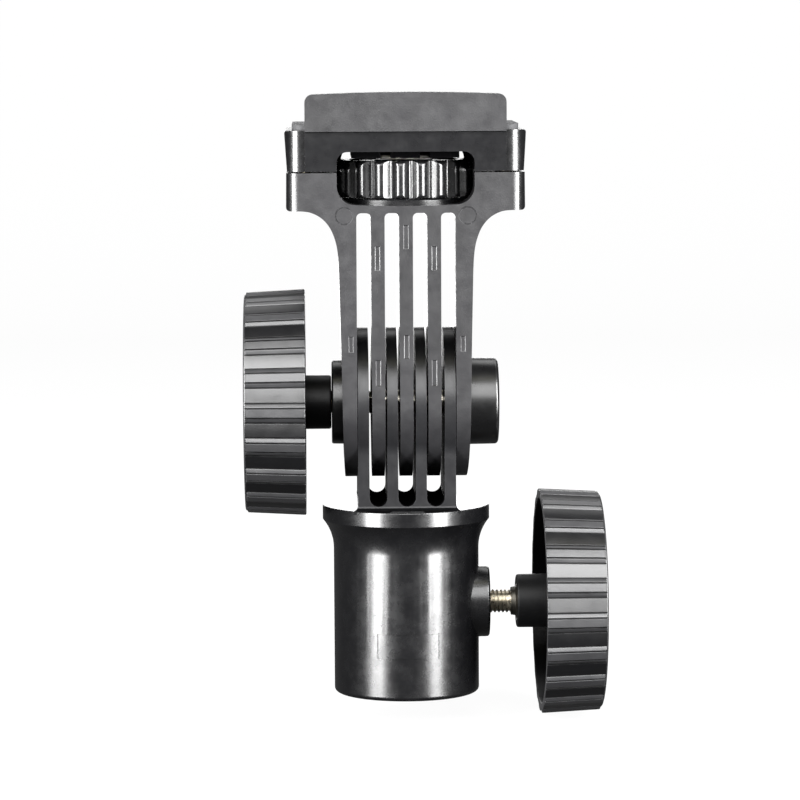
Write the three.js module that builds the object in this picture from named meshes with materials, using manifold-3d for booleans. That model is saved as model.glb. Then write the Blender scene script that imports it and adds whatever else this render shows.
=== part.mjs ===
// Swivel bracket for a lighting stand: a stand socket with a finned hinge, a tilting fork that
// carries a small mounting platform, and two hand knobs.
// Millimetres, +Z up. Origin: centre of the spigot seat, the flat ceiling of the socket's bore.
// +X (right) points to the socket's clamp knob, -Y (front) is the side with the raised lip.
import * as THREE from "three";
import { mergeVertices } from "three/addons/utils/BufferGeometryUtils.js";
import Module from "manifold-3d";

// ---- dimensions shared between sections ----
const HINGE_Z = 30.7;
const HEAD_RADIUS = 18.6; // round heads of all fins
const BOLT_RADIUS = 3.0; // M6
const BOLT_HOLE_RADIUS = 3.4;
const LEFT_BOSS_X = -18.4; // ends of the fork's hinge bosses
const RIGHT_BOSS_X = 23.1;

const LOCK_Z = -19.85; // axis of the socket's clamp screw
const CLAMP_BOSS_X = 20.8;
const TILT_MOUTH_X = -24.9; // open mouths of the two knobs
const LOCK_MOUTH_X = 33.5;

const EAR_BOTTOM = 79.2; // underside of the platform's ends
const PLATE_HALF_X = 29.25;
const PLATE_HALF_Y = HEAD_RADIUS; // flat faces run down into the fin heads
const PLATE_CORNER = 4.3;
const PARTING = 88.65; // joint between fork and cap
const PART_GAP = 0.2; // set back from the joint on each side
const CAP_TOP = 98.8;
const LIP_BACK = -17.6;
const THRUST_Z = 92.55; // face above the wheel's washer
const WHEEL_LOW = 82.15;
const WHEEL_HIGH = 91.2;

const SCREW_X = 24.5;
const SCREW_Y = 13.9;
const SCREW_AT = [
  [-SCREW_X, -SCREW_Y],
  [SCREW_X, -SCREW_Y],
  [SCREW_X, SCREW_Y],
  [-SCREW_X, SCREW_Y],
];

const OVER = 1; // how far a cut runs past a face
const THROUGH = 40; // half length of a cut right through along X or Y
const TALL = 120; // a height above everything

// ---- solids ----
const wasm = await Module();
wasm.setup();

// Welds a geometry into a closed solid, turning its faces over if they point inwards.
function solid(geometry) {
  const bare = (geometry.index ? geometry.toNonIndexed() : geometry).clone();
  for (const name of Object.keys(bare.attributes)) {
    if (name !== "position") bare.deleteAttribute(name);
  }
  const merged = mergeVertices(bare, 1e-4);
  const corners = Array.from(merged.index.array);
  const build = (flipped) => {
    const triangles = [];
    for (let i = 0; i < corners.length; i += 3) {
      const [a, b, c] = corners.slice(i, i + 3);
      if (a === b || b === c || a === c) continue;
      triangles.push(...(flipped ? [a, c, b] : [a, b, c]));
    }
    return new wasm.Manifold(
      new wasm.Mesh({
        numProp: 3,
        vertProperties: new Float32Array(merged.attributes.position.array),
        triVerts: new Uint32Array(triangles),
      }),
    );
  };
  const made = build(false);
  return made.volume() > 0 ? made : build(true);
}

const lathe = (profile, segments) =>
  new THREE.LatheGeometry(profile.map(([r, h]) => new THREE.Vector2(r, h)), segments);

// Profile [[radius, z], ...] turned about Z; it starts and ends on the axis, or closes on itself.
const turnedZ = (profile, segments) => solid(lathe(profile, segments).rotateX(Math.PI / 2));

// Profile [[radius, x], ...] turned about an axis along X at height z.
const turnedX = (profile, segments, z = 0) =>
  solid(lathe(profile, segments).rotateZ(-Math.PI / 2).translate(0, 0, z));

function rodProfile(radius, low, high, { lowChamfer = 0, highChamfer = 0 } = {}) {
  const profile = [[0, low]];
  if (lowChamfer) profile.push([radius - lowChamfer, low]);
  profile.push([radius, low + lowChamfer], [radius, high - highChamfer]);
  if (highChamfer) profile.push([radius - highChamfer, high]);
  profile.push([0, high]);
  return profile;
}
const rodX = (radius, x0, x1, segments, z = 0) =>
  turnedX(rodProfile(radius, x0, x1), segments, z);
const rodZ = (radius, z0, z1, segments, x = 0, y = 0) =>
  turnedZ(rodProfile(radius, z0, z1), segments).translate(x, y, 0);
const boreZ = (radius, segments) => rodZ(radius, 0, TALL, segments);
const tubeX = (inner, outer, x0, x1, segments, z) =>
  rodX(outer, x0, x1, segments, z).subtract(rodX(inner, x0 - OVER, x1 + OVER, segments, z));

// Box between two opposite corners.
function box([x0, y0, z0], [x1, y1, z1]) {
  const block = new THREE.BoxGeometry(x1 - x0, y1 - y0, z1 - z0);
  return solid(block.translate((x0 + x1) / 2, (y0 + y1) / 2, (z0 + z1) / 2));
}

function prism(points, depth) {
  const shape = new THREE.Shape(points.map(([a, b]) => new THREE.Vector2(a, b)));
  return new THREE.ExtrudeGeometry(shape, { depth, bevelEnabled: false, steps: 1 });
}
// Outline in plan [x, y], pulled up from z0 to z1.
const alongZ = (points, z0, z1) => solid(prism(points, z1 - z0).translate(0, 0, z0));

// Outline [x, z] seen from the front, pulled along Y.
const alongY = (points, y0 = -THROUGH, y1 = THROUGH) =>
  solid(prism(points, y1 - y0).rotateX(Math.PI / 2).translate(0, y1, 0));

// Outline [y, z] seen from the side, pulled along X.
function alongX(points, x0 = -THROUGH, x1 = THROUGH) {
  const axes = new THREE.Matrix4().set(0, 0, 1, x0, 1, 0, 0, 0, 0, 1, 0, 0, 0, 0, 0, 1);
  return solid(prism(points, x1 - x0).applyMatrix4(axes));
}

// ---- outlines ----
const arc = (cx, cy, radius, start, end, steps) =>
  Array.from({ length: steps + 1 }, (_, i) => {
    const angle = start + ((end - start) * i) / steps;
    return [cx + radius * Math.cos(angle), cy + radius * Math.sin(angle)];
  });

// Quarter circle; quadrant 0 is the one towards +, + and they count anticlockwise.
const corner = (cx, cy, radius, quadrant, steps) =>
  arc(cx, cy, radius, (quadrant * Math.PI) / 2, ((quadrant + 1) * Math.PI) / 2, steps);

function roundedRect(halfX, halfY, radius, steps = 5) {
  const cx = halfX - radius;
  const cy = halfY - radius;
  return [
    ...corner(cx, cy, radius, 0, steps),
    ...corner(-cx, cy, radius, 1, steps),
    ...corner(-cx, -cy, radius, 2, steps),
    ...corner(cx, -cy, radius, 3, steps),
  ];
}

// Hexagon by its width across flats, centred at height cy.
const hexagon = (across, cy = 0) => arc(0, cy, across / Math.sqrt(3), 0, 2 * Math.PI, 6).slice(0, 6);

// The other half of an outline that is symmetric about its vertical axis.
const mirrored = (points) => points.map(([a, b]) => [-a, b]).reverse();

// Ring of flat-topped teeth; the phase and half angles are in degrees.
function toothedOutline({ count, phase, tipHalf, rootHalf, tipRadius, rootRadius }) {
  const tooth = [
    [-rootHalf, rootRadius],
    [-tipHalf, tipRadius],
    [tipHalf, tipRadius],
    [rootHalf, rootRadius],
  ];
  return Array.from({ length: count }, (_, i) =>
    tooth.map(([offset, radius]) => {
      const angle = THREE.MathUtils.degToRad((i * 360) / count + offset + phase);
      return [radius * Math.cos(angle), radius * Math.sin(angle)];
    }),
  ).flat();
}

const hingeBore = () => rodX(BOLT_HOLE_RADIUS, -THROUGH, THROUGH, 16, HINGE_Z);

// ---- stand socket: body, clamp boss and four hinge fins ----
const SPIGOT_RADIUS = 8.25; // bore for a 16 mm (5/8 in) stand spigot
const SOCKET_BOTTOM = -42.25;
const SOCKET_RADIUS = 18.15;
const SOCKET_INNER = SOCKET_RADIUS - 2.8; // inside of the outer wall
const SLEEVE_RADIUS = 11.0; // outside of the inner sleeve round the bore
const HOLLOW_TOP = -4;
const SOCKET_RIBS = 8;
const RIB_HALF = 0.9;
const RIB_SETBACK = 1.5; // ribs end above the socket's bottom
const COLLAR_RADIUS = 20.85;
const COLLAR_TOP = 5.1;
const COVE_LOW = -6.0;
const COVE_HIGH = 1.4;
const COVE_RADIUS = 7.5;
const COVE_OFFSET = 4.6; // cove's centre outside the collar
const CLAMP_BOSS_RADIUS = 8.9;
const CLAMP_ROOT_X = 5; // where the solid parts round the clamp begin
const CLAMP_WEB_HALF = 6.5;

const LOW_FIN_X = [3.52, 10.6]; // fin centres on each side
const LOW_FIN_HALF = 1.35; // half thickness
const LOW_NECK_Y = 15.6; // half depth of the fins' neck
const LOW_NECK_FILLET = 6.0;

function socketShell() {
  const cove = arc(
    COLLAR_RADIUS + COVE_OFFSET, COVE_LOW, COVE_RADIUS, Math.PI, Math.PI * 0.705, 5,
  ).filter(([r]) => r > SOCKET_RADIUS);
  const profile = [
    [0, SOCKET_BOTTOM],
    [SOCKET_RADIUS - 0.8, SOCKET_BOTTOM],
    [SOCKET_RADIUS, SOCKET_BOTTOM + 0.9],
    [SOCKET_RADIUS, COVE_LOW],
    ...cove,
    [COLLAR_RADIUS, COVE_HIGH],
    [COLLAR_RADIUS, COLLAR_TOP],
    [0, COLLAR_TOP],
  ];
  return turnedZ(profile, 40);
}

// Space between the wall and the inner sleeve, less the ribs and the solid round the clamp.
function socketHollow() {
  const profile = [
    [SLEEVE_RADIUS, SOCKET_BOTTOM - OVER],
    [SOCKET_INNER, SOCKET_BOTTOM - OVER],
    [SOCKET_INNER, HOLLOW_TOP],
    [SLEEVE_RADIUS, HOLLOW_TOP],
    [SLEEVE_RADIUS, SOCKET_BOTTOM - OVER],
  ];
  let hollow = turnedZ(profile, 40);
  for (let i = 0; i < SOCKET_RIBS; i++) {
    const rib = box(
      [SLEEVE_RADIUS - OVER, -RIB_HALF, SOCKET_BOTTOM + RIB_SETBACK],
      [SOCKET_INNER + OVER, RIB_HALF, 0],
    );
    hollow = hollow.subtract(rib.rotate([0, 0, ((i + 0.5) * 360) / SOCKET_RIBS]));
  }
  const web = box([CLAMP_ROOT_X, -CLAMP_WEB_HALF, LOCK_Z], [SOCKET_RADIUS, CLAMP_WEB_HALF, 0]);
  return hollow
    .subtract(rodX(CLAMP_BOSS_RADIUS, CLAMP_ROOT_X, SOCKET_RADIUS, 24, LOCK_Z))
    .subtract(web);
}

// One block in side view, with the gaps between the fins cut through it.
function lowerFins() {
  const filletY = LOW_NECK_Y + LOW_NECK_FILLET;
  const filletDrop = Math.sqrt((HEAD_RADIUS + LOW_NECK_FILLET) ** 2 - filletY ** 2);
  const touch = Math.atan2(-filletDrop, filletY); // where the fillet meets the head
  const filletZ = HINGE_Z - filletDrop;
  const neck = [
    [LOW_NECK_Y, COLLAR_TOP - OVER],
    ...arc(filletY, filletZ, LOW_NECK_FILLET, Math.PI, Math.PI + touch, 4),
  ];
  const head = arc(0, HINGE_Z, HEAD_RADIUS, touch, Math.PI - touch, 26).slice(1, -1);
  const [innerX, outerX] = LOW_FIN_X;
  const halfBlock = outerX + LOW_FIN_HALF;
  let fins = alongX([...neck, ...head, ...mirrored(neck)], -halfBlock, halfBlock);

  const gapInner = innerX + LOW_FIN_HALF;
  const gapOuter = outerX - LOW_FIN_HALF;
  const gaps = [
    [LOW_FIN_HALF - innerX, innerX - LOW_FIN_HALF],
    [gapInner, gapOuter],
    [-gapOuter, -gapInner],
  ];
  for (const [left, right] of gaps) {
    const radius = (right - left) / 2;
    const floorZ = COLLAR_TOP + 1.0;
    const outline = [
      ...arc((left + right) / 2, floorZ + radius, radius, Math.PI, 2 * Math.PI, 4),
      [right, HINGE_Z + 30],
      [left, HINGE_Z + 30],
    ];
    fins = fins.subtract(alongY(outline));
  }
  return fins.subtract(hingeBore());
}

function socketBody() {
  const clampBoss = rodProfile(CLAMP_BOSS_RADIUS, 9, CLAMP_BOSS_X, { highChamfer: 0.6 });
  const shoeChannel = rodX(4.1, 4, 14, 16, LOCK_Z);
  const insertSeat = rodX(4.8, 12.2, CLAMP_BOSS_X + OVER, 16, LOCK_Z);
  return socketShell()
    .subtract(socketHollow())
    .add(turnedX(clampBoss, 24, LOCK_Z))
    .subtract(rodZ(SPIGOT_RADIUS, SOCKET_BOTTOM - OVER, 0, 40))
    .subtract(shoeChannel)
    .subtract(insertSeat)
    .add(lowerFins());
}

// ---- thumbwheel opening, shared by fork and cap ----
const WINDOW_HALF_X = 16.85;
const WINDOW_LOW = 80.65;
const WINDOW_HIGH = 93.6;
const WINDOW_LOW_CORNER = 4.5;
const WINDOW_HIGH_CORNER = 2.6;
const CHAMBER_RADIUS = 17.85;
const CEILING_RIB_X = [-9.66, 0, 9.66];
const CEILING_RIB_HALF = 3.55;
const CEILING_RIB_Z = 91.95;
const CEILING_RIB_Y = PLATE_HALF_Y - 2.5;
const THRUST_BOSS_RADIUS = 9;
const WASHER_RECESS_RADIUS = 7.6;

// A window through the platform from front to back, and a round chamber.
function windowCut() {
  const lowX = WINDOW_HALF_X - WINDOW_LOW_CORNER;
  const lowZ = WINDOW_LOW + WINDOW_LOW_CORNER;
  const highX = WINDOW_HALF_X - WINDOW_HIGH_CORNER;
  const highZ = WINDOW_HIGH - WINDOW_HIGH_CORNER;
  const outline = [
    ...corner(-lowX, lowZ, WINDOW_LOW_CORNER, 2, 4),
    ...corner(lowX, lowZ, WINDOW_LOW_CORNER, 3, 4),
    ...corner(highX, highZ, WINDOW_HIGH_CORNER, 0, 3),
    ...corner(-highX, highZ, WINDOW_HIGH_CORNER, 1, 3),
  ];
  let cut = alongY(outline);
  cut = cut.add(rodZ(CHAMBER_RADIUS, WINDOW_LOW + 0.8, WINDOW_HIGH - 0.9, 48));
  for (const x of CEILING_RIB_X) {
    const rib = box(
      [x - CEILING_RIB_HALF, -CEILING_RIB_Y, CEILING_RIB_Z],
      [x + CEILING_RIB_HALF, CEILING_RIB_Y, TALL],
    );
    cut = cut.subtract(rib);
  }
  // round boss under the ceiling, with the recess that holds the thrust washer
  return cut
    .subtract(rodZ(THRUST_BOSS_RADIUS, THRUST_Z, TALL, 32))
    .add(rodZ(WASHER_RECESS_RADIUS, WINDOW_LOW + 2, THRUST_Z, 32));
}

// ---- tilting fork: five fins, neck, hinge bosses and the platform's lower half ----
const SLOT_X = [3.45, 10.34]; // slot centres on each side
const SLOT_HALF = 1.8;
const SLOT_TOP = 78.65;
const SLOT_CORNER = 1.1;
const BOSS_RADIUS = 10.6;
const BOSS_ROOT_X = 13.5; // bosses start inside the outer fins

// Right edge seen from the front: half width x, height z.
const FORK_EDGE = [
  [15.3, 11.0], [15.4, 14.0], [15.8, 30.7], [15.95, 43.7], [16.3, 59.3],
  [16.5, 67.1], [16.95, 70.6], [17.7, 73.2], [18.6, 75.0], [19.9, 76.75],
  [21.7, 78.1], [23.9, 78.95], [26.0, EAR_BOTTOM],
  [PLATE_HALF_X - 0.9, EAR_BOTTOM],
  [PLATE_HALF_X, EAR_BOTTOM + 0.9],
  [PLATE_HALF_X - 0.1, PARTING - PART_GAP],
];

// Outer shape: front view, side view and plan intersected.
function forkBlank() {
  const front = [...FORK_EDGE, ...mirrored(FORK_EDGE)];
  const side = [
    ...arc(0, HINGE_Z, HEAD_RADIUS, Math.PI, 2 * Math.PI, 18),
    [HEAD_RADIUS, PARTING + 5],
    [-HEAD_RADIUS, PARTING + 5],
  ];
  const plan = roundedRect(PLATE_HALF_X + 0.2, PLATE_HALF_Y, PLATE_CORNER);
  return alongY(front, -PLATE_HALF_Y, PLATE_HALF_Y)
    .intersect(alongX(side))
    .intersect(alongZ(plan, 0, TALL));
}

function forkSlot(x) {
  const cornerX = SLOT_HALF - SLOT_CORNER;
  const cornerZ = SLOT_TOP - SLOT_CORNER;
  return alongY([
    [x - SLOT_HALF, 0],
    [x + SLOT_HALF, 0],
    ...corner(x + cornerX, cornerZ, SLOT_CORNER, 0, 2),
    ...corner(x - cornerX, cornerZ, SLOT_CORNER, 1, 2),
  ]);
}

function tiltFork() {
  let fork = forkBlank();
  for (const x of SLOT_X) {
    fork = fork.subtract(forkSlot(-x)).subtract(forkSlot(x));
  }
  const rightBoss = rodProfile(BOSS_RADIUS, BOSS_ROOT_X, RIGHT_BOSS_X, { highChamfer: 0.8 });
  const washerRecess = rodX(6.9, LEFT_BOSS_X - OVER, LEFT_BOSS_X + 1.5, 24, HINGE_Z);
  const headPocket = alongX(hexagon(10.6, HINGE_Z), RIGHT_BOSS_X - 5.2, RIGHT_BOSS_X + OVER);
  fork = fork
    .add(rodX(BOSS_RADIUS, LEFT_BOSS_X, -BOSS_ROOT_X, 24, HINGE_Z))
    .add(turnedX(rightBoss, 24, HINGE_Z))
    .subtract(hingeBore())
    .subtract(washerRecess)
    .subtract(headPocket)
    .subtract(windowCut());
  // cap screws: counterbore from below and a clearance hole
  for (const [x, y] of SCREW_AT) {
    fork = fork
      .subtract(rodZ(3.1, EAR_BOTTOM - 3, EAR_BOTTOM + 3.4, 16, x, y))
      .subtract(rodZ(1.85, EAR_BOTTOM, PARTING + OVER, 12, x, y));
  }
  return fork;
}

// ---- platform cap with the raised lip, and its pad ----
const LIP_HALF_X = 24.55;
const LIP_FRONT = -21.6;
const LIP_LOW = 98.6;
const LIP_TOP = 108.0;
const LIP_CORNER = 2;

// The front panel leans forward up to the lip; the lip is one wall.
function raisedLip() {
  const side = [
    [LIP_BACK + 2, PARTING + PART_GAP],
    [LIP_BACK + 2, CAP_TOP - 1],
    [LIP_BACK, CAP_TOP - 1],
    [LIP_BACK, LIP_TOP + 3],
    [LIP_FRONT, LIP_TOP + 3],
    [LIP_FRONT, LIP_LOW],
    [LIP_FRONT + 0.7, LIP_LOW],
    [-PLATE_HALF_Y, PARTING + PART_GAP],
  ];
  const cornerX = LIP_HALF_X - LIP_CORNER;
  const cornerZ = LIP_TOP - 0.3 - LIP_CORNER;
  const front = [
    [-LIP_HALF_X, 80],
    [LIP_HALF_X, 80],
    ...corner(cornerX, cornerZ, LIP_CORNER, 0, 4),
    [9, LIP_TOP + 0.1],
    [0, LIP_TOP + 0.2],
    [-9, LIP_TOP + 0.1],
    ...corner(-cornerX, cornerZ, LIP_CORNER, 1, 4),
  ];
  return alongX(side, -LIP_HALF_X, LIP_HALF_X).intersect(alongY(front));
}

function platformCap() {
  const widest = PLATE_HALF_X + 0.4;
  const edge = [
    [PLATE_HALF_X - 0.3, PARTING + PART_GAP],
    [widest, CAP_TOP - 0.6],
    [PLATE_HALF_X - 0.2, CAP_TOP],
  ];
  let cap = alongY([...edge, ...mirrored(edge)], -PLATE_HALF_Y, PLATE_HALF_Y)
    .intersect(alongZ(roundedRect(widest, PLATE_HALF_Y, PLATE_CORNER), 0, TALL))
    .add(raisedLip())
    .subtract(windowCut())
    .subtract(boreZ(3.6, 24)); // clearance hole of the mounting screw
  for (const [x, y] of SCREW_AT) {
    cap = cap.subtract(rodZ(1.55, 80, CAP_TOP - 2.4, 12, x, y));
  }
  return cap;
}

function rubberPad() {
  const front = LIP_BACK + 0.5;
  const back = PLATE_HALF_Y - 1.2;
  const middle = (front + back) / 2;
  const outline = roundedRect(27.7, (back - front) / 2, 2.5, 4).map(([x, y]) => [x, y + middle]);
  return alongZ(outline, CAP_TOP + 0.05, CAP_TOP + 1.5).subtract(boreZ(5.2, 24));
}

// ---- thumbwheel with its 1/4 in screw ----
const WHEEL_TEETH = {
  count: 20,
  phase: -90 - 4.3, // a tooth's centre lies 4.3 degrees off -Y
  tipHalf: 2.5,
  rootHalf: 6.2,
  tipRadius: 17.2,
  rootRadius: 15.8,
};
const DISH_OUTER = 13.85; // shallow ring-shaped dish in the lower face
const DISH_INNER = 7.2;
const DISH_DEPTH = 2.2;
const QUARTER_RADIUS = 3.1; // 1/4-20 screw
const QUARTER_TIP = 106.1;

function thumbwheel() {
  const below = WHEEL_LOW - OVER;
  const dish = rodZ(DISH_OUTER, below, WHEEL_LOW + DISH_DEPTH, 24).subtract(
    boreZ(DISH_INNER, 24),
  );
  const headSeat = alongZ(hexagon(11.5), below, WHEEL_LOW + 4.5);
  return alongZ(toothedOutline(WHEEL_TEETH), WHEEL_LOW, WHEEL_HIGH)
    .subtract(dish)
    .subtract(boreZ(QUARTER_RADIUS + 0.35, 16))
    .subtract(headSeat);
}

function mountingScrew() {
  const head = alongZ(hexagon(11.0), WHEEL_LOW + 0.2, WHEEL_LOW + 4.2);
  const shank = rodProfile(QUARTER_RADIUS, WHEEL_LOW + 2, QUARTER_TIP, { highChamfer: 0.7 });
  return head.add(turnedZ(shank, 16));
}

const wheelWasher = () =>
  rodZ(7.1, WHEEL_HIGH + 0.2, WHEEL_HIGH + 1.2, 24).subtract(boreZ(3.5, 16));

// Head down, with a cross recess in its lower face.
function capScrew([x, y]) {
  const seat = EAR_BOTTOM + 3.3;
  const profile = [
    [0, seat - 2.2],
    [2.2, seat - 2.2],
    [2.75, seat - 1.6],
    [2.75, seat],
    [1.3, seat],
    [1.3, seat + 9],
    [0.5, seat + 10.2],
    [0, seat + 10.2],
  ];
  const crossBar = (halfX, halfY) =>
    box([-halfX, -halfY, seat - 3], [halfX, halfY, seat - 1.1]);
  return turnedZ(profile, 12)
    .subtract(crossBar(1.6, 0.35))
    .subtract(crossBar(0.35, 1.6))
    .translate(x, y, 0);
}

// ---- hand knobs, built with the mouth at x = 0 and the closed face at +x ----
const KNOB_MOUTH_RADIUS = 28.3;
const KNOB_FACE_RADIUS = 27.5;
const KNOB_RIM = 14.7; // width of the grip rim
const KNOB_DOME = 1.0;
const KNOB_WALL = 2.6;
const KNOB_GRIPS = 20;
const KNOB_GRIP_HEIGHT = 0.55;
const KNOB_INSIDE = KNOB_RIM - KNOB_WALL; // depth of the cavity at its edge
const HUB_RADIUS = 6.72;

// Narrow grip ribs with wide valleys between, fading into the domed face.
// The phase is in degrees from +Y to +Z.
function knobBlank(phase) {
  const star = toothedOutline({
    count: KNOB_GRIPS,
    phase,
    tipHalf: 2.35,
    rootHalf: 5.0,
    tipRadius: 1,
    rootRadius: 1 - KNOB_GRIP_HEIGHT / KNOB_MOUTH_RADIUS,
  });
  // radius, x
  const rings = [
    [KNOB_MOUTH_RADIUS, 0],
    [KNOB_FACE_RADIUS, KNOB_RIM - 0.6],
    [KNOB_FACE_RADIUS - 0.9, KNOB_RIM + 0.1],
    [(KNOB_FACE_RADIUS - 0.6) * 0.55, KNOB_RIM + KNOB_DOME * 0.72],
  ];
  const points = rings.flatMap(([r, x]) => star.flatMap(([y, z]) => [x, r * y, r * z]));
  points.push(0, 0, 0, KNOB_RIM + KNOB_DOME, 0, 0);

  const count = star.length;
  const mouth = rings.length * count; // centre points of the two ends
  const apex = mouth + 1;
  const lastRing = mouth - count;
  const faces = [];
  for (let k = 0; k < count; k++) {
    const next = (k + 1) % count;
    for (let start = 0; start < lastRing; start += count) {
      const above = start + count;
      faces.push(start + k, start + next, above + next);
      faces.push(start + k, above + next, above + k);
    }
    faces.push(mouth, next, k, apex, lastRing + k, lastRing + next);
  }
  const shell = new THREE.BufferGeometry();
  shell.setAttribute("position", new THREE.BufferAttribute(new Float32Array(points), 3));
  shell.setIndex(faces);
  return solid(shell);
}

// Hollow knob with three bars across the inside of its face and a central hub.
function handKnob({ hubOut, phase }) {
  const cavity = [
    [0, -OVER],
    [KNOB_MOUTH_RADIUS - KNOB_WALL, -OVER],
    [KNOB_FACE_RADIUS - KNOB_WALL - 0.3, KNOB_INSIDE],
    [0, KNOB_INSIDE + 0.5],
  ];
  let knob = knobBlank(phase).subtract(turnedX(cavity, 40));
  const barEnd = KNOB_FACE_RADIUS - 2;
  for (let i = 0; i < 3; i++) {
    const bar = box([3.5, -barEnd, -0.9], [KNOB_INSIDE + 0.8, barEnd, 0.9]);
    knob = knob.add(bar.rotate([i * 60, 0, 0]));
  }
  return knob.add(rodX(HUB_RADIUS, -hubOut, KNOB_INSIDE + 1, 24));
}

const tiltKnob = () =>
  handKnob({ hubOut: 6.4, phase: 0.1 })
    .subtract(rodX(BOLT_HOLE_RADIUS, -THROUGH, 11.5, 16))
    .subtract(rodX(4.9, -THROUGH, 5.2, 16)) // seat of the threaded insert
    .mirror([1, 0, 0])
    .translate(TILT_MOUTH_X, 0, HINGE_Z);

const lockKnob = () =>
  handKnob({ hubOut: 5.9, phase: 3.4 })
    .subtract(rodX(4.6, -THROUGH, 9, 16))
    .translate(LOCK_MOUTH_X, 0, LOCK_Z);

// ---- fasteners and small metal pieces ----
const tiltBolt = () =>
  alongX(hexagon(10.0, HINGE_Z), RIGHT_BOSS_X - 5.0, RIGHT_BOSS_X - 1.0).add(
    rodX(BOLT_RADIUS, -34.5, RIGHT_BOSS_X - 3, 16, HINGE_Z),
  );
const tiltWasher = () =>
  tubeX(BOLT_HOLE_RADIUS, 6.4, LEFT_BOSS_X + 0.1, LEFT_BOSS_X + 1.3, 24, HINGE_Z);
const tiltInsert = () =>
  tubeX(BOLT_HOLE_RADIUS, 4.6, TILT_MOUTH_X - 5.0, TILT_MOUTH_X + 6.1, 16, HINGE_Z);
const clampInsert = () =>
  tubeX(BOLT_HOLE_RADIUS, 4.45, 12.5, CLAMP_BOSS_X - 0.2, 16, LOCK_Z);
const clampShoe = () =>
  turnedX(rodProfile(3.7, 9.0, 11.5, { lowChamfer: 0.5 }), 16, LOCK_Z);
const lockScrew = () =>
  turnedX(rodProfile(BOLT_RADIUS, 11.7, 41.0, { lowChamfer: 0.6 }), 16, LOCK_Z);

function lockInsert() {
  const profile = [
    [BOLT_HOLE_RADIUS, 26.1],
    [3.75, 26.1],
    [4.2, 27.2],
    [4.2, 40.5],
    [BOLT_HOLE_RADIUS, 40.5],
    [BOLT_HOLE_RADIUS, 26.1],
  ];
  return turnedX(profile, 16, LOCK_Z);
}

// ---- materials and scene graph ----
const LOOKS = {
  plastic: { color: 0x3a393d, roughness: 0.42, metalness: 0.0 },
  wheel: { color: 0x1b1b1e, roughness: 0.3, metalness: 0.0 },
  steel: { color: 0xa6a49c, roughness: 0.32, metalness: 1.0 },
  brass: { color: 0xb08d4c, roughness: 0.35, metalness: 1.0 },
  nylon: { color: 0xd8d5c8, roughness: 0.5, metalness: 0.0 },
  rubber: { color: 0x1e1e1f, roughness: 0.85, metalness: 0.0 },
};

function piece(name, look, shape) {
  const { vertProperties, triVerts } = shape.getMesh();
  const geometry = new THREE.BufferGeometry();
  const positions = new Float32Array(vertProperties);
  geometry.setAttribute("position", new THREE.BufferAttribute(positions, 3));
  geometry.setIndex(new THREE.BufferAttribute(new Uint32Array(triVerts), 1));
  geometry.computeVertexNormals();
  const mesh = new THREE.Mesh(geometry, new THREE.MeshStandardMaterial(LOOKS[look]));
  mesh.name = name;
  return mesh;
}
const group = (...children) => new THREE.Group().add(...children);

const standSocket = group(
  piece("socket_body", "plastic", socketBody()),
  piece("clamp_insert", "brass", clampInsert()),
  piece("clamp_shoe", "brass", clampShoe()),
  piece("lock_screw", "steel", lockScrew()),
  piece("lock_knob_insert", "steel", lockInsert()),
  piece("lock_knob", "plastic", lockKnob()),
);
const platform = group(
  piece("platform_cap", "plastic", platformCap()),
  piece("rubber_pad", "rubber", rubberPad()),
  piece("thumbwheel", "wheel", thumbwheel()),
  piece("mounting_screw", "steel", mountingScrew()),
  piece("wheel_washer", "nylon", wheelWasher()),
  ...SCREW_AT.map((at, i) => piece(`cap_screw_${i + 1}`, "steel", capScrew(at))),
);
const fork = group(
  piece("tilt_fork", "plastic", tiltFork()),
  piece("tilt_bolt", "steel", tiltBolt()),
  piece("tilt_washer", "steel", tiltWasher()),
  piece("tilt_knob_insert", "brass", tiltInsert()),
  piece("tilt_knob", "plastic", tiltKnob()),
  platform,
);

export default group(standSocket, fork);
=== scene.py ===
"""A tilting mount for a lamp or camera stand.

A round socket clamps on the stand with a hand knob. A fork hinges between the socket's fins and
carries a platform with a rubber pad and a mounting screw, turned by a thumbwheel in a window.

The stand's axis is Z and the platform is at the top. The front faces -Y and +X is to the right.
The tilt hinge and the clamp screw both lie along X, the tilt knob at the left and the clamp knob
at the right. Shapes are built in millimetres and scaled to metres when finished; materials,
lights and the camera are in metres.
"""

import math
from contextlib import contextmanager

import bmesh
import bpy
from mathutils import Matrix, Vector


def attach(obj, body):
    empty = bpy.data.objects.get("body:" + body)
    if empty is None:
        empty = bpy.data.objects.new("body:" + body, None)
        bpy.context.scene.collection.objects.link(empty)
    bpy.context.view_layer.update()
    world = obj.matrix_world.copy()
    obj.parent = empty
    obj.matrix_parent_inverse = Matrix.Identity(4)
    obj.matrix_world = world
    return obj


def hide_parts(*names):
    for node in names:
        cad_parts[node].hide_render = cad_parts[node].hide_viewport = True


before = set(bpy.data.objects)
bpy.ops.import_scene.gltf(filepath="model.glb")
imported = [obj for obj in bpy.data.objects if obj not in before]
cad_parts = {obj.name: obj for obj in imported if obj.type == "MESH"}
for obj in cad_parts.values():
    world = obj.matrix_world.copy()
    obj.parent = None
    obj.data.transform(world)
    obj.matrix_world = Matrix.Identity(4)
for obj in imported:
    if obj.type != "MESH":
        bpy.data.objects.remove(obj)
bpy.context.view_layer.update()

MM = 0.001
PI = math.pi
SCENE = bpy.context.scene

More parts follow.
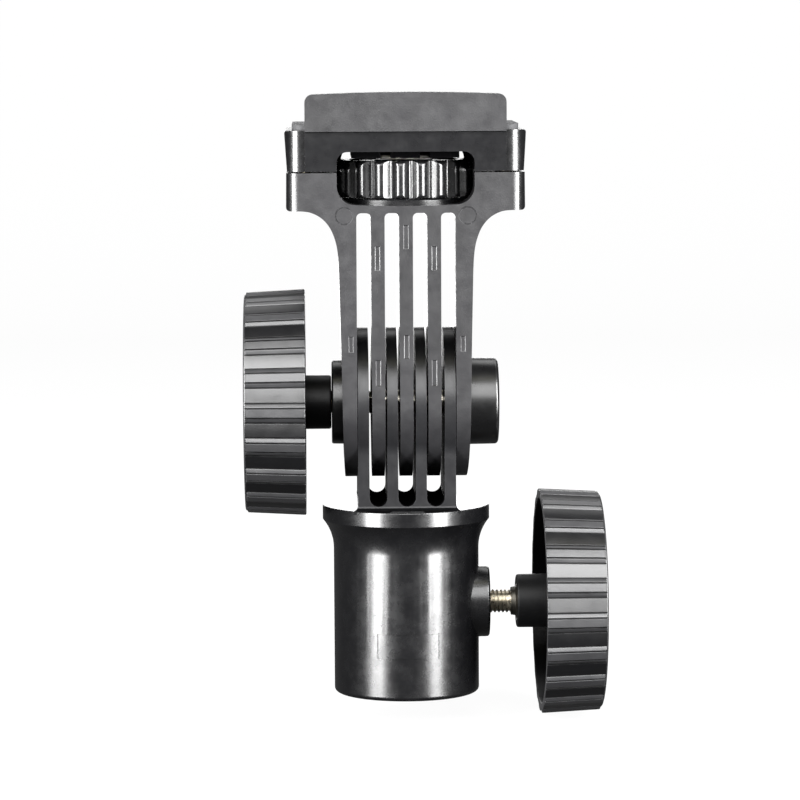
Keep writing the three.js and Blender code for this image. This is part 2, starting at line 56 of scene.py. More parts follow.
# ------------------------------------------------------------------ shared dimensions, millimetres
HINGE_Z = 30.7  # axis of the tilt hinge
LOCK_Z = -19.85  # axis of the clamp screw
ORIGIN = (0, 0, 0)
HINGE = (0, 0, HINGE_Z)
LOCK = (0, 0, LOCK_Z)
HEAD_R = 18.6  # round heads of the fins and of the fork
PLATE_X = 29.25  # half the platform's width
PLATE_Y = HEAD_R  # half its depth, flush with the round head
EAR_BOTTOM = 79.2  # underside of the platform where it overhangs the fork
PARTING = 88.65  # joint between fork and cap
CAP_TOP = 98.8
HINGE_HOLE_R = 3.4
SCREWS = [(-24.5, -13.9), (24.5, -13.9), (24.5, 13.9), (-24.5, 13.9)]


# ------------------------------------------------------------------ outlines
def arc(centre_x, centre_y, radius, start, end, count):
    return [
        (
            centre_x + radius * math.cos(start + (end - start) * i / count),
            centre_y + radius * math.sin(start + (end - start) * i / count),
        )
        for i in range(count + 1)
    ]


def rectangle(x0, y0, x1, y1):
    return [(x0, y0), (x1, y0), (x1, y1), (x0, y1)]


def hexagon(across):
    radius = across / 2 / math.cos(PI / 6)
    return [(radius * math.cos(i * PI / 3), radius * math.sin(i * PI / 3)) for i in range(6)]


def raised(outline, height):
    return [(x, y + height) for x, y in outline]


def flipped(points):
    """The other half of an outline that is symmetric about its first coordinate."""
    return [(-x, y) for x, y in reversed(points)]


def round_off(points, seg=6, closed=True):
    """Polygon or polyline of (x, y) or (x, y, radius): corners with a radius become arcs."""
    out = []
    count = len(points)
    for i, point in enumerate(points):
        radius = point[2] if len(point) > 2 else 0
        if radius <= 0 or (not closed and i in (0, count - 1)):
            out.append(point[:2])
            continue
        corner = Vector(point[:2])
        before = Vector(points[i - 1][:2]) - corner
        after = Vector(points[(i + 1) % count][:2]) - corner
        room = (before.length * 0.49, after.length * 0.49)
        before.normalize()
        after.normalize()
        half = math.acos(max(-1, min(1, before.dot(after)))) / 2
        setback = min(radius / math.tan(half), *room)
        fitted = setback * math.tan(half)
        centre = corner + (before + after).normalized() * (fitted / math.sin(half))
        start = corner + before * setback - centre
        end = corner + after * setback - centre
        sweep = math.atan2(start.x * end.y - start.y * end.x, start.dot(end))
        for k in range(seg + 1):
            angle = sweep * k / seg
            out.append(
                (
                    centre.x + start.x * math.cos(angle) - start.y * math.sin(angle),
                    centre.y + start.x * math.sin(angle) + start.y * math.cos(angle),
                )
            )
    return out


def rounded_plan(half_x, half_y, radius, seg):
    corners = [(half_x, -half_y), (half_x, half_y), (-half_x, half_y), (-half_x, -half_y)]
    return round_off([(x, y, radius) for x, y in corners], seg)


def smooth_line(points, steps=3):
    """Catmull-Rom curve through the points."""
    out = []
    for i in range(len(points) - 1):
        p0 = Vector(points[max(i - 1, 0)])
        p1, p2 = Vector(points[i]), Vector(points[i + 1])
        p3 = Vector(points[min(i + 2, len(points) - 1)])
        for k in range(steps):
            t = k / steps
            on_curve = 0.5 * (
                2 * p1
                + (p2 - p0) * t
                + (2 * p0 - 5 * p1 + 4 * p2 - p3) * t * t
                + (3 * p1 - p0 - 3 * p2 + p3) * t**3
            )
            out.append((on_curve.x, on_curve.y))
    out.append(points[-1])
    return out


# ------------------------------------------------------------------ solids
def add_object(name, data):
    thing = bpy.data.objects.new(name, data)
    SCENE.collection.objects.link(thing)
    return thing


def link(verts, faces, name="part"):
    mesh = bpy.data.meshes.new(name)
    mesh.from_pydata([tuple(v) for v in verts], [], faces)
    mesh.update()
    return add_object(name, mesh)


@contextmanager
def editing(piece):
    """The piece's mesh as a bmesh, written back afterwards."""
    edit = bmesh.new()
    edit.from_mesh(piece.data)
    yield edit
    edit.to_mesh(piece.data)
    edit.free()


def outward(piece):
    """Weld the piece and point its normals outwards."""
    with editing(piece) as edit:
        bmesh.ops.remove_doubles(edit, verts=edit.verts, dist=1e-5)
        bmesh.ops.recalc_face_normals(edit, faces=edit.faces)
        if edit.calc_volume(signed=True) < 0:
            bmesh.ops.reverse_faces(edit, faces=edit.faces)
    return piece


def rings(rows, axis="Z", closed=False):
    """Skin over rows of (a, b, height) points, height along the axis.

    The rows are all as long, except that a pole is a row of one point.
    """
    verts, index = [], []
    for row in rows:
        index.append(list(range(len(verts), len(verts) + len(row))))
        verts += row if axis == "Z" else [(height, a, b) for a, b, height in row]
    faces = []
    pairs = list(zip(index[:-1], index[1:]))
    if closed:
        pairs.append((index[-1], index[0]))
    for low, high in pairs:
        count = max(len(low), len(high))
        for i in range(count):
            j = (i + 1) % count
            if len(low) == 1:
                faces.append([low[0], high[j], high[i]])
            elif len(high) == 1:
                faces.append([low[i], low[j], high[0]])
            else:
                faces.append([low[i], low[j], high[j], high[i]])
    return outward(link(verts, faces))


def circle(radius, height, sides):
    if radius < 1e-6:
        return [(0.0, 0.0, height)]
    return [
        (radius * math.cos(2 * PI * i / sides), radius * math.sin(2 * PI * i / sides), height)
        for i in range(sides)
    ]


def lathe(profile, sides, axis="Z", at=ORIGIN):
    """Turn a profile of (radius, height) round the axis; one that ends off the axis is closed."""
    hollow = profile[0][0] > 1e-6 and profile[-1][0] > 1e-6
    piece = rings([circle(r, height, sides) for r, height in profile], axis, closed=hollow)
    return move(piece, at)


def rod(radius, low, high, sides, axis="Z", at=ORIGIN):
    return lathe([(0, low), (radius, low), (radius, high), (0, high)], sides, axis, at)


def boss(root_r, tip_r, root, bend, tip, corner, seg, sides, at):
    """Drafted boss along X: straight from root to the corner, whose arc is aimed from bend."""
    nose = round_off([(root_r, bend), (tip_r, tip, corner), (0, tip)], seg, closed=False)
    return lathe([(0, root), (root_r, root)] + nose[1:], sides, "X", at)


def washer(inner, outer, low, high, axis="Z", at=ORIGIN):
    section = [(*point, 0.2) for point in rectangle(inner, low, outer, high)]
    return lathe(round_off(section, 3), 64, axis, at)


def prism(outline, start, end, along, top=None):
    """Outline pulled along an axis: (y, z) points along X, (x, z) along Y, (x, y) along Z."""
    put = {
        "X": lambda p, d: (d, p[0], p[1]),
        "Y": lambda p, d: (p[0], d, p[1]),
        "Z": lambda p, d: (p[0], p[1], d),
    }[along]
    n = len(outline)
    verts = [put(p, start) for p in outline] + [put(p, end) for p in top or outline]
    faces = [list(range(n)), list(range(2 * n - 1, n - 1, -1))]
    faces += [[i, n + i, n + (i + 1) % n, (i + 1) % n] for i in range(n)]
    return outward(link(verts, faces))


def box(x_span, y_span, z_span):
    return prism(rectangle(x_span[0], y_span[0], x_span[1], y_span[1]), *z_span, "Z")


def move(piece, offset):
    piece.data.transform(Matrix.Translation(offset))
    return piece


def turn(piece, degrees, axis):
    piece.data.transform(Matrix.Rotation(math.radians(degrees), 4, axis))
    return piece


def bake(piece):
    """Apply the piece's modifiers."""
    depsgraph = bpy.context.evaluated_depsgraph_get()
    mesh = bpy.data.meshes.new_from_object(piece.evaluated_get(depsgraph))
    old = piece.data
    piece.modifiers.clear()
    piece.data = mesh
    bpy.data.meshes.remove(old)


def combine(piece, tool, operation):
    """Boolean with a tool that is used up."""
    boolean = piece.modifiers.new("boolean", "BOOLEAN")
    boolean.operation, boolean.object, boolean.solver = operation, tool, "MANIFOLD"
    bake(piece)
    if not len(piece.data.polygons):
        raise RuntimeError(f"boolean {operation} emptied the piece")
    mesh = tool.data
    bpy.data.objects.remove(tool)
    bpy.data.meshes.remove(mesh)


def cut(piece, tool):
    combine(piece, tool, "DIFFERENCE")


def join(piece, tool):
    combine(piece, tool, "UNION")


def meet(piece, tool):
    combine(piece, tool, "INTERSECT")


def soften(piece, rule, widest, seg, least):
    """Round the edges sharper than `least` degrees.

    rule(x, y, z, first, second) gives an edge's radius, up to `widest`, from its middle and the
    normals of its two faces.
    """
    merge = 2e-4
    with editing(piece) as edit:
        bmesh.ops.remove_doubles(edit, verts=edit.verts, dist=merge)
        bmesh.ops.dissolve_degenerate(edit, edges=edit.edges, dist=merge)
    with editing(piece) as edit:
        weight = edit.edges.layers.float.new("bevel_weight_edge")
        for edge in edit.edges:
            if len(edge.link_faces) != 2:
                continue
            first, second = (face.normal for face in edge.link_faces)
            if first.length < 0.5 or second.length < 0.5:
                continue
            if first.angle(second) < math.radians(least):
                continue
            middle = (edge.verts[0].co + edge.verts[1].co) / 2
            edge[weight] = min(1.0, max(0.0, rule(*middle, first, second) / widest))
    bevel = piece.modifiers.new("bevel", "BEVEL")
    bevel.limit_method = "WEIGHT"
    bevel.width = widest
    bevel.segments = seg
    bevel.profile = 0.5
    bevel.use_clamp_overlap = True
    bevel.miter_outer = "MITER_ARC"
    bake(piece)
    left_over = piece.data.attributes.get("bevel_weight_edge")
    if left_over:
        piece.data.attributes.remove(left_over)


# ------------------------------------------------------------------ finishing
def settle_flats(mesh, area=10.0):
    """Corner normals beside a wide flat face follow it, so it shades flat up to its edges."""
    flats = {}
    for face in mesh.polygons:
        if face.area > area:
            for v in face.vertices:
                flats.setdefault(v, []).append(face.normal.copy())
    normals = [corner.vector.copy() for corner in mesh.corner_normals]
    for i, loop in enumerate(mesh.loops):
        near = flats.get(loop.vertex_index)
        if near:
            best = max(near, key=lambda normal: normal.dot(normals[i]))
            if best.dot(normals[i]) > 0.8:
                normals[i] = best
    mesh.normals_split_custom_set(normals)


def shade(piece, sharp, weighted):
    for face in piece.data.polygons:
        face.use_smooth = True
    piece.data.set_sharp_from_angle(angle=math.radians(sharp))
    if weighted:
        weighting = piece.modifiers.new("normals", "WEIGHTED_NORMAL")
        weighting.keep_sharp = True
        weighting.weight = 60
        bake(piece)
        settle_flats(piece.data)


def paint(piece, pick):
    """Set each face's material: pick(x, y, z, normal) gives its index from the face's centre."""
    for face in piece.data.polygons:
        face.material_index = pick(*face.center, face.normal)


def finish(piece, name, body, node, mats, sharp=40, weighted=True):
    """Name, shade and scale a piece, and hand it to the frame in place of a CAD node."""
    piece.name = name
    piece.data.name = name
    painted = [face.material_index for face in piece.data.polygons]
    piece.data.materials.clear()
    for mat in mats:
        piece.data.materials.append(mat)
    piece.data.polygons.foreach_set("material_index", painted)
    shade(piece, sharp, weighted)
    piece.data.transform(Matrix.Scale(MM, 4))
    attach(piece, body)
    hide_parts(node)


# ------------------------------------------------------------------ shader tools
def empty_tree(owner):
    owner.use_nodes = True
    owner.node_tree.nodes.clear()
    return owner.node_tree


def feed(tree, socket, value):
    """Link a socket, or set a plain value."""
    if isinstance(value, bpy.types.NodeSocket):
        tree.links.new(value, socket)
    else:
        socket.default_value = value


def add_node(tree, kind, inputs=None, **settings):
    node = tree.nodes.new(kind)
    for key, value in settings.items():
        setattr(node, key, value)
    for key, value in (inputs or {}).items():
        feed(tree, node.inputs[key], value)
    return node


class Shader:
    """A material with a Principled surface, and the texture nodes that feed it."""

    def __init__(self, name):
        self.material = bpy.data.materials.new(name)
        self.tree = empty_tree(self.material)
        out = self.node("ShaderNodeOutputMaterial")
        self.bsdf = self.node("ShaderNodeBsdfPrincipled")
        self.tree.links.new(self.bsdf.outputs[0], out.inputs["Surface"])
        self.coord = self.node("ShaderNodeTexCoord").outputs["Object"]

    def node(self, kind, inputs=None, **settings):
        return add_node(self.tree, kind, inputs, **settings)

    def surface(self, key, value):
        feed(self.tree, self.bsdf.inputs[key], value)

    def noise(self, scale, detail, rough, stretch=None, distortion=0.0):
        coord = self.coord
        if stretch:
            mapping = self.node("ShaderNodeMapping", {"Vector": coord, "Scale": stretch})
            coord = mapping.outputs[0]
        inputs = {
            "Scale": scale,
            "Detail": detail,
            "Roughness": rough,
            "Distortion": distortion,
            "Vector": coord,
        }
        return self.node("ShaderNodeTexNoise", inputs).outputs[0]

    def remap(self, value, span, to):
        inputs = {
            "Value": value,
            "From Min": span[0],
            "From Max": span[1],
            "To Min": to[0],
            "To Max": to[1],
        }
        return self.node("ShaderNodeMapRange", inputs).outputs[0]

    def math(self, operation, a, b):
        return self.node("ShaderNodeMath", {0: a, 1: b, 2: 0.0}, operation=operation).outputs[0]

    def mix(self, factor, first, second):
        """Blend from the first colour to the second, which is an RGB tuple."""
        if not isinstance(first, bpy.types.NodeSocket):
            first = (*first, 1.0)
        inputs = {0: factor, 6: first, 7: (*second, 1.0)}
        return self.node("ShaderNodeMix", inputs, data_type="RGBA").outputs[2]

    def bump(self, height, strength, distance, normal=None):
        inputs = {"Strength": strength, "Distance": distance, "Height": height}
        if normal is not None:
            inputs["Normal"] = normal
        return self.node("ShaderNodeBump", inputs).outputs[0]

    def edges(self, radius):
        """1 on rounded and sharp edges, 0 on open faces."""
        bevel = self.node("ShaderNodeBevel", {"Radius": radius}, samples=4)
        geometry = self.node("ShaderNodeNewGeometry")
        dot = self.node(
            "ShaderNodeVectorMath",
            {0: bevel.outputs[0], 1: geometry.outputs["Normal"]},
            operation="DOT_PRODUCT",
        )
        return self.remap(dot.outputs["Value"], span=(0.995, 0.9), to=(0.0, 1.0))


def tint(base, gain, lift=0.0):
    return tuple(c * gain + lift for c in base)


# ------------------------------------------------------------------ materials
def moulded(name, base, rough, grain, mottle, spec=0.5, wear=0.5, drawn=0.0):
    """Moulded plastic: faint flow mottling, fine grain, handling polish on the edges.

    `drawn` spreads the gloss along X, as tool marks running round that axis would.
    """
    shader = Shader(name)
    flow = shader.noise(scale=95.0, detail=4.0, rough=0.6, stretch=(1.0, 1.0, 0.45), distortion=0.4)
    speck = shader.noise(scale=1500.0, detail=2.0, rough=0.6)
    color = shader.mix(
        shader.remap(flow, span=(0.35, 0.68), to=(0.0, 1.0)),
        tint(base, gain=1 - mottle),
        tint(base, gain=1 + mottle),
    )
    specks = shader.remap(speck, span=(0.55, 0.75), to=(0.0, 0.25))
    color = shader.mix(specks, color, tint(base, gain=1.6, lift=0.002))

    edge = shader.edges(radius=0.00035)
    patches = shader.noise(scale=420.0, detail=3.0, rough=0.6)
    patches = shader.remap(patches, span=(0.42, 0.62), to=(0.0, 1.0))
    worn = shader.math("MULTIPLY", shader.math("MULTIPLY", edge, patches), wear)
    paler = shader.math("MULTIPLY", worn, 0.5)  # half the wear shows in the colour
    color = shader.mix(paler, color, tint(base, gain=2.2, lift=0.02))
    shader.surface("Base Color", color)

    gloss = shader.noise(scale=260.0, detail=4.0, rough=0.65)
    gloss = shader.remap(gloss, span=(0.3, 0.7), to=(rough - 0.045, rough + 0.045))
    polish = shader.math("MULTIPLY", worn, 0.08)  # roughness lost to full wear
    shader.surface("Roughness", shader.math("SUBTRACT", gloss, polish))
    shader.surface("Specular IOR Level", spec)
    shader.surface("IOR", 1.5)

    fine = shader.noise(scale=2600.0, detail=2.0, rough=0.55)
    wavy = shader.noise(scale=140.0, detail=2.0, rough=0.5)
    normal = shader.bump(wavy, strength=0.06, distance=0.0004)
    normal = shader.bump(fine, strength=grain, distance=0.00008, normal=normal)
    shader.surface("Normal", normal)
    if drawn:
        tangent = shader.node("ShaderNodeTangent", direction_type="RADIAL", axis="X")
        shader.surface("Tangent", tangent.outputs[0])
        shader.surface("Anisotropic", drawn)
        shader.surface("Anisotropic Rotation", 0.25)
    return shader.material


def metal(name, base, rough):
    """Plated or machined metal: turning lines, stains and small scuffs."""
    shader = Shader(name)
    stain = shader.noise(scale=300.0, detail=4.0, rough=0.6)
    stain = shader.remap(stain, span=(0.35, 0.7), to=(0.0, 1.0))
    shader.surface("Base Color", shader.mix(stain, tint(base, gain=0.72), tint(base, gain=1.1)))
    shader.surface("Metallic", 1.0)
    scuffs = shader.noise(scale=900.0, detail=3.0, rough=0.6)
    scuffs = shader.remap(scuffs, span=(0.3, 0.7), to=(rough - 0.08, rough + 0.1))
    shader.surface("Roughness", scuffs)
    lines = shader.noise(scale=1800.0, detail=3.0, rough=0.6, stretch=(6.0, 1.0, 1.0))
    shader.surface("Normal", shader.bump(lines, strength=0.25, distance=0.00004))
    return shader.material


def rubbery(name, base):
    """Matt rubber with a little dust."""
    shader = Shader(name)
    dust = shader.noise(scale=420.0, detail=5.0, rough=0.65)
    dusty = shader.remap(dust, span=(0.4, 0.75), to=(0.0, 0.6))
    shader.surface("Base Color", shader.mix(dusty, base, tint(base, gain=1.9, lift=0.006)))
    shader.surface("Roughness", shader.remap(dust, span=(0.3, 0.7), to=(0.62, 0.8)))
    shader.surface("Specular IOR Level", 0.35)
    grain = shader.noise(scale=3200.0, detail=3.0, rough=0.6)
    shader.surface("Normal", shader.bump(grain, strength=0.6, distance=0.00008))
    return shader.material


def grey(level, blue):
    """Nearly neutral base colour."""
    return (level, level, blue)


GLOSS = moulded(
    "plastic_satin", grey(0.0012, 0.0014), rough=0.265, grain=0.05, mottle=0.06, wear=0.2
)
MATTE = moulded("plastic_textured", (0.005, 0.0049, 0.0054), rough=0.368, grain=0.3, mottle=0.2)
BOSS = moulded("plastic_boss", grey(0.0012, 0.0013), rough=0.31, grain=0.06, mottle=0.12)
KNOB_RIB = moulded(
    "knob_rib_plastic", grey(0.007, 0.0076), rough=0.42, grain=0.3, mottle=0.12, spec=0.6
)
KNOB_VALLEY = moulded(
    "knob_valley_plastic", grey(0.0014, 0.0016), rough=0.38, grain=0.1, mottle=0.12, drawn=0.8
)
# painted shade for the knobs: near-black, barely reflecting plastic in the grip's creases, inside
# the cup and on the hub
KNOB_PAINTED_SHADE = moulded(
    "knob_painted_shade_plastic", grey(0.001, 0.0011), rough=0.45, grain=0.1, mottle=0.1, spec=0.12
)
BAND = moulded("plastic_band", grey(0.0025, 0.0028), rough=0.30, grain=0.12, mottle=0.12)
FIN = moulded("plastic_fin", grey(0.004, 0.0044), rough=0.33, grain=0.12, mottle=0.12, spec=0.3)
# painted shade: near-black plastic with no reflection, for the floors between the socket's fins and
# the faces inside the thumbwheel window
PAINTED_SHADE = moulded("plastic_painted_shade", grey(0.001, 0.0011), rough=0.7, grain=0.1, mottle=0.1, spec=0.0)
# painted highlight: paler, shinier plastic on the fork's front fillets, standing in for light
# caught by the rounded edges
PAINTED_EDGE_HIGHLIGHT = moulded("plastic_painted_edge_highlight", grey(0.012, 0.013), rough=0.42, grain=0.2, mottle=0.12, spec=0.8)
WHEEL = moulded("wheel_plastic", grey(0.002, 0.0022), rough=0.26, grain=0.04, mottle=0.1, wear=0.2)
STEEL = metal("zinc_steel", base=(0.62, 0.58, 0.5), rough=0.3)
BLACK_STEEL = metal("blackened_steel", base=(0.045, 0.042, 0.036), rough=0.4)
BRASS = metal("brass", base=(0.7, 0.52, 0.24), rough=0.3)
NYLON = moulded("nylon", (0.62, 0.6, 0.53), rough=0.45, grain=0.2, mottle=0.05)
RUBBER = rubbery("rubber", base=(0.018, 0.018, 0.019))

# ------------------------------------------------------------------ stand socket
SOCKET_R = 18.15
SOCKET_BOTTOM = -42.25
SOCKET_TOP = 5.1
RIM_R = 20.85
COVE_R = 11.67  # hollow curve from the barrel out to the rim
BORE_R = 8.25  # bore for the stand
FIN_Y = 15.6  # half the fins' depth
FIN_FOOT = 1.1  # fillet at the foot, seen from the side
FIN_NECK = 6.0  # fillet under the round head
FIN_GAPS = [(-2.17, 2.17), (4.87, 9.25), (-9.25, -4.87)]  # x from, x to


def make_barrel():
    """Turned outside, ribbed hollow wall, clamp boss and the bores."""
    bottom = [(14.0, SOCKET_BOTTOM), (SOCKET_R, SOCKET_BOTTOM, 1.1), (SOCKET_R, -8.0)]
    rim = [(20.65, 1.2), (RIM_R, 1.5, 0.15), (RIM_R, SOCKET_TOP, 0.35), (15.0, SOCKET_TOP)]
    profile = (
        [(0, SOCKET_BOTTOM)]
        + round_off(bottom, seg=5, closed=False)[1:-1]
        + arc(SOCKET_R + COVE_R, -6.0, COVE_R, PI, PI - math.radians(39.24), 12)
        + round_off(rim, seg=4, closed=False)[1:-1]
        + [(0, SOCKET_TOP)]
    )
    barrel = lathe(profile, 144)
    clamp_boss = boss(
        root_r=9.1, tip_r=8.85, root=8.6, bend=9, tip=20.8, corner=0.7, seg=5, sides=72, at=LOCK
    )
    hollow = lathe(
        [(11.0, -44), (15.35, -44), (15.35, -4.6), (14.7, -4.0), (11.6, -4.0), (11.0, -4.6)], 96
    )
    for i in range(8):
        cut(hollow, turn(box((10, 16.2), (-0.9, 0.9), (-40.9, 0)), 22.5 + i * 45, "Z"))
    # solid material left round and above the clamp screw
    cut(hollow, rod(8.9, 5, 18, 64, "X", LOCK))
    cut(hollow, box((5, 18), (-6.5, 6.5), (LOCK_Z, 0)))
    cut(barrel, hollow)
    join(barrel, clamp_boss)
    cut(barrel, rod(BORE_R, -44, 0, 96))
    cut(barrel, rod(4.1, 4, 14, 40, "X", LOCK))
    cut(barrel, rod(4.8, 12.2, 22, 48, "X", LOCK))
    return barrel


def make_fins():
    """Four fins: side outline, front outline with flared feet, then the gaps between them."""
    drop = math.sqrt((HEAD_R + FIN_NECK) ** 2 - (FIN_Y + FIN_NECK) ** 2)
    touch = math.atan2(-drop, FIN_Y + FIN_NECK)
    foot_y = FIN_Y + FIN_FOOT
    side = (
        [(foot_y, 4.4), (foot_y, SOCKET_TOP)]
        + arc(foot_y, SOCKET_TOP + FIN_FOOT, FIN_FOOT, -PI / 2, -PI, 4)[1:]
        + arc(FIN_Y + FIN_NECK, HINGE_Z - drop, FIN_NECK, PI, PI + touch, 8)
    )
    head = arc(0, HINGE_Z, HEAD_R, touch, PI - touch, 72)[1:-1]
    fins = prism(side + head + flipped(side), -16, 16, "X")
    foot = [(13.3, 4.0), (13.3, SOCKET_TOP)]
    foot += arc(13.6, SOCKET_TOP + 1.5, 1.5, -PI * 0.56, -PI, 5)[1:] + [(11.95, 52)]
    meet(fins, prism(foot + flipped(foot), -24, 24, "Y"))
    for left, right in FIN_GAPS:
        radius = (right - left) / 2
        floor = arc((left + right) / 2, 6.1 + radius, radius, PI, 2 * PI, 14)
        cut(fins, prism(floor + [(right + 0.1, 60), (left - 0.1, 60)], -30, 30, "Y"))
    cut(fins, rod(HINGE_HOLE_R, -30, 30, 40, "X", HINGE))

    def rule(x, y, z, first, second):
        return 0.0 if z < 5.4 else 0.42

    soften(fins, rule, widest=0.42, seg=3, least=40)
    return fins


def make_socket():
    socket = make_barrel()
    join(socket, make_fins())
    # hair groove on the front: a rectangular mould line
    groove = prism(rectangle(-7.6, -31.7, 7.7, -25.4), -19, -15, "Y")
    cut(groove, prism(rectangle(-7.42, -31.52, 7.52, -25.58), -20, -14, "Y"))
    cut(groove, rod(17.8, -36, -20, 144))
    cut(socket, groove)

    def rule(x, y, z, first, second):
        if z < -40.8:
            return 0.35
        if x > 17 and math.hypot(y, z - LOCK_Z) < 5.2:
            return 0.3
        return 0.0

    soften(socket, rule, widest=0.35, seg=2, least=50)
    return socket


def socket_material(x, y, z, normal):
    # upward faces at the foot of the gaps between the fins: painted shade
    if normal.z > 0.2 and 3.5 < z < 9.5 and abs(x) < 9.6 and abs(y) < 18.4:
        return 2
    return 1 if z > 5.15 and abs(normal.x) < 0.5 else 0


socket = make_socket()
paint(socket, socket_material)
finish(
    socket, "socket_shell", "stand_socket", "socket_body",
    [GLOSS, FIN, PAINTED_SHADE], sharp=36,
)

# ------------------------------------------------------------------ tilting fork
# right-hand outline of the fork, bottom to top: x, z
FORK_SIDE = [
    (14.8, 10.0), (15.15, 12.5), (15.45, 18.0), (15.75, 30.7),
    (15.96, 43.7), (16.3, 59.3), (16.45, 65.1), (16.65, 68.4),
    (17.0, 70.8), (17.55, 72.8), (18.35, 74.7), (19.35, 76.2),
    (20.55, 77.4), (21.95, 78.3), (23.75, 78.98), (25.8, EAR_BOTTOM),
]
SLOTS_X = (3.45, 10.34)  # slots at either side of the middle
SLOT_TOP = 78.65
SLOT_FOOT_HALF, SLOT_TOP_HALF = 1.84, 1.76  # half widths
WINDOW_X = 16.85  # half the window's width
WINDOW_REAR_X = 15.6  # a little narrower at the back
WINDOW_LOW, WINDOW_HIGH = 80.65, 93.6
# sunk marks on the front face: x of the middle, half width, z from, z to
MARKS = [
    (-7.0, 0.65, 64.55, 70.5), (6.87, 0.65, 64.55, 70.5), (0, 0.65, 69.8, 75.7),
    (-13.6, 0.6, 44.55, 48.45), (13.85, 0.6, 44.55, 48.45), (0, 0.65, 43.0, 48.75),
    (-6.95, 0.65, 36.25, 42.6), (6.8, 0.65, 36.25, 42.6),
]


def make_window():
    """The thumbwheel's opening, as a cutter for both the fork and the cap."""
    low_r, high_r = 4.5, 2.7
    flat = WINDOW_X - low_r
    outline = arc(-flat, WINDOW_LOW + low_r, low_r, PI, 1.5 * PI, 8)
    outline += [(x, WINDOW_LOW - 0.28 * (1 - (x / flat) ** 2)) for x in range(-9, 10, 3)]
    outline += arc(flat, WINDOW_LOW + low_r, low_r, 1.5 * PI, 2 * PI, 8)
    high_x, high_z = WINDOW_X - high_r, WINDOW_HIGH - high_r
    outline += arc(high_x, high_z, high_r, 0, PI / 2, 6)
    outline += arc(-high_x, high_z, high_r, PI / 2, PI, 6)
    opening = prism(outline, -40, 4, "Y")
    join(opening, prism([(x * WINDOW_REAR_X / WINDOW_X, z) for x, z in outline], 3.5, 40, "Y"))
    # round chamber for the wheel, with three ribs and a hub left under its roof
    join(opening, rod(17.85, 81.45, 92.7, 120))
    for x in (-9.66, 0, 9.66):
        cut(opening, box((x - 3.55, x + 3.55), (-16.1, 16.1), (91.95, 120)))
    cut(opening, rod(9, 92.55, 120, 64))
    join(opening, rod(7.6, 83, 92.55, 64))
    return opening


def mark_cutter(middle, half, z0, z1):
    """Shallow mark in the front face, with sloping walls and a flat floor."""
    depth, slope, proud = 0.12, 0.16, 0.05
    grow = proud * (slope / depth)
    x0, x1, y = middle - half, middle + half, -PLATE_Y
    outer = rectangle(x0 - grow, z0 - grow, x1 + grow, z1 + grow)
    inner = rectangle(x0 + slope, z0 + slope, x1 - slope, z1 - slope)
    return prism(outer, y - proud, y + depth, "Y", top=inner)


def fork_radius(x, y, z, first, second):
    x = abs(x)
    flat = abs(first.y) > 0.9 or abs(second.y) > 0.9
    on_face = flat and abs(y) > 18.4
    if z > PARTING - 0.4:
        return 0.3
    if on_face and x < 17.0 and 80.0 < z < PARTING - 0.5:
        return 1.7
    if abs(y) < 16.7 and x < 16.7 and 79.0 < z < 83.0:
        return 0.0
    if z < HINGE_Z and x < 14.5:
        return 0.35
    if x > 14.5 and (on_face or z < HINGE_Z):
        return 0.85
    if on_face and z < SLOT_TOP + 0.2 and x < 13:
        return 0.32
    if z > 77.8 and x > 21:
        return 0.6
    return 0.25


def make_fork():
    ear = [(26.6, EAR_BOTTOM), (PLATE_X, EAR_BOTTOM, 0.9), (PLATE_X - 0.1, PARTING - 0.2)]
    half = smooth_line(FORK_SIDE) + round_off(ear, seg=4, closed=False)
    fork = prism(half + flipped(half), -PLATE_Y, PLATE_Y, "Y")
    side = arc(0, HINGE_Z, HEAD_R, PI, 2 * PI, 72) + [(HEAD_R, 95), (-HEAD_R, 95)]
    meet(fork, prism(side, -40, 40, "X"))
    meet(fork, prism(rounded_plan(PLATE_X + 0.2, PLATE_Y, 3.5, 10), 0, 120, "Z"))
    for offset in SLOTS_X:
        for x in (-offset, offset):
            outline = [
                (x - SLOT_FOOT_HALF - 0.05, 0),
                (x + SLOT_FOOT_HALF + 0.05, 0),
                (x + SLOT_TOP_HALF, SLOT_TOP, 1.15),
                (x - SLOT_TOP_HALF, SLOT_TOP, 1.15),
            ]
            cut(fork, prism(round_off(outline, 6), -40, 40, "Y"))
    cut(fork, make_window())
    # raised ring on the window's floor
    seat = [(8.4, 80.0), (16.3, 80.0), (16.5, 81.6), (16.2, 81.9), (8.8, 81.9), (8.4, 81.5)]
    join(fork, lathe(seat, 96))
    soften(fork, fork_radius, widest=1.7, seg=6, least=32)

    # hinge bosses at the left and right, then the washer's and the bolt head's pockets
    join(fork, boss(
        root_r=10.5, tip_r=10.4, root=-13.3, bend=-14, tip=-18.4, corner=0.45, seg=4,
        sides=96, at=HINGE,
    ))
    join(fork, boss(
        root_r=10.85, tip_r=10.7, root=13.3, bend=14, tip=23.1, corner=0.9, seg=6,
        sides=96, at=HINGE,
    ))
    cut(fork, rod(HINGE_HOLE_R, -30, 30, 40, "X", HINGE))
    cut(fork, rod(6.9, -19.4, -16.9, 64, "X", HINGE))
    cut(fork, prism(raised(hexagon(10.6), HINGE_Z), 17.9, 25, "X"))
    for x, y in SCREWS:
        cut(fork, rod(3.1, 75, 82.6, 40, "Z", (x, y, 0)))
        cut(fork, rod(1.85, 80, 92, 24, "Z", (x, y, 0)))
    for mark in MARKS:
        cut(fork, mark_cutter(*mark))
    for x in (-15.1, 15.1):
        ring = lathe([(1.86, -0.1), (2.3, -0.1), (2.14, 0.11), (2.02, 0.11)], 48)
        cut(fork, move(turn(ring, -90, "X"), (x, -PLATE_Y, 78.0)))
    return fork


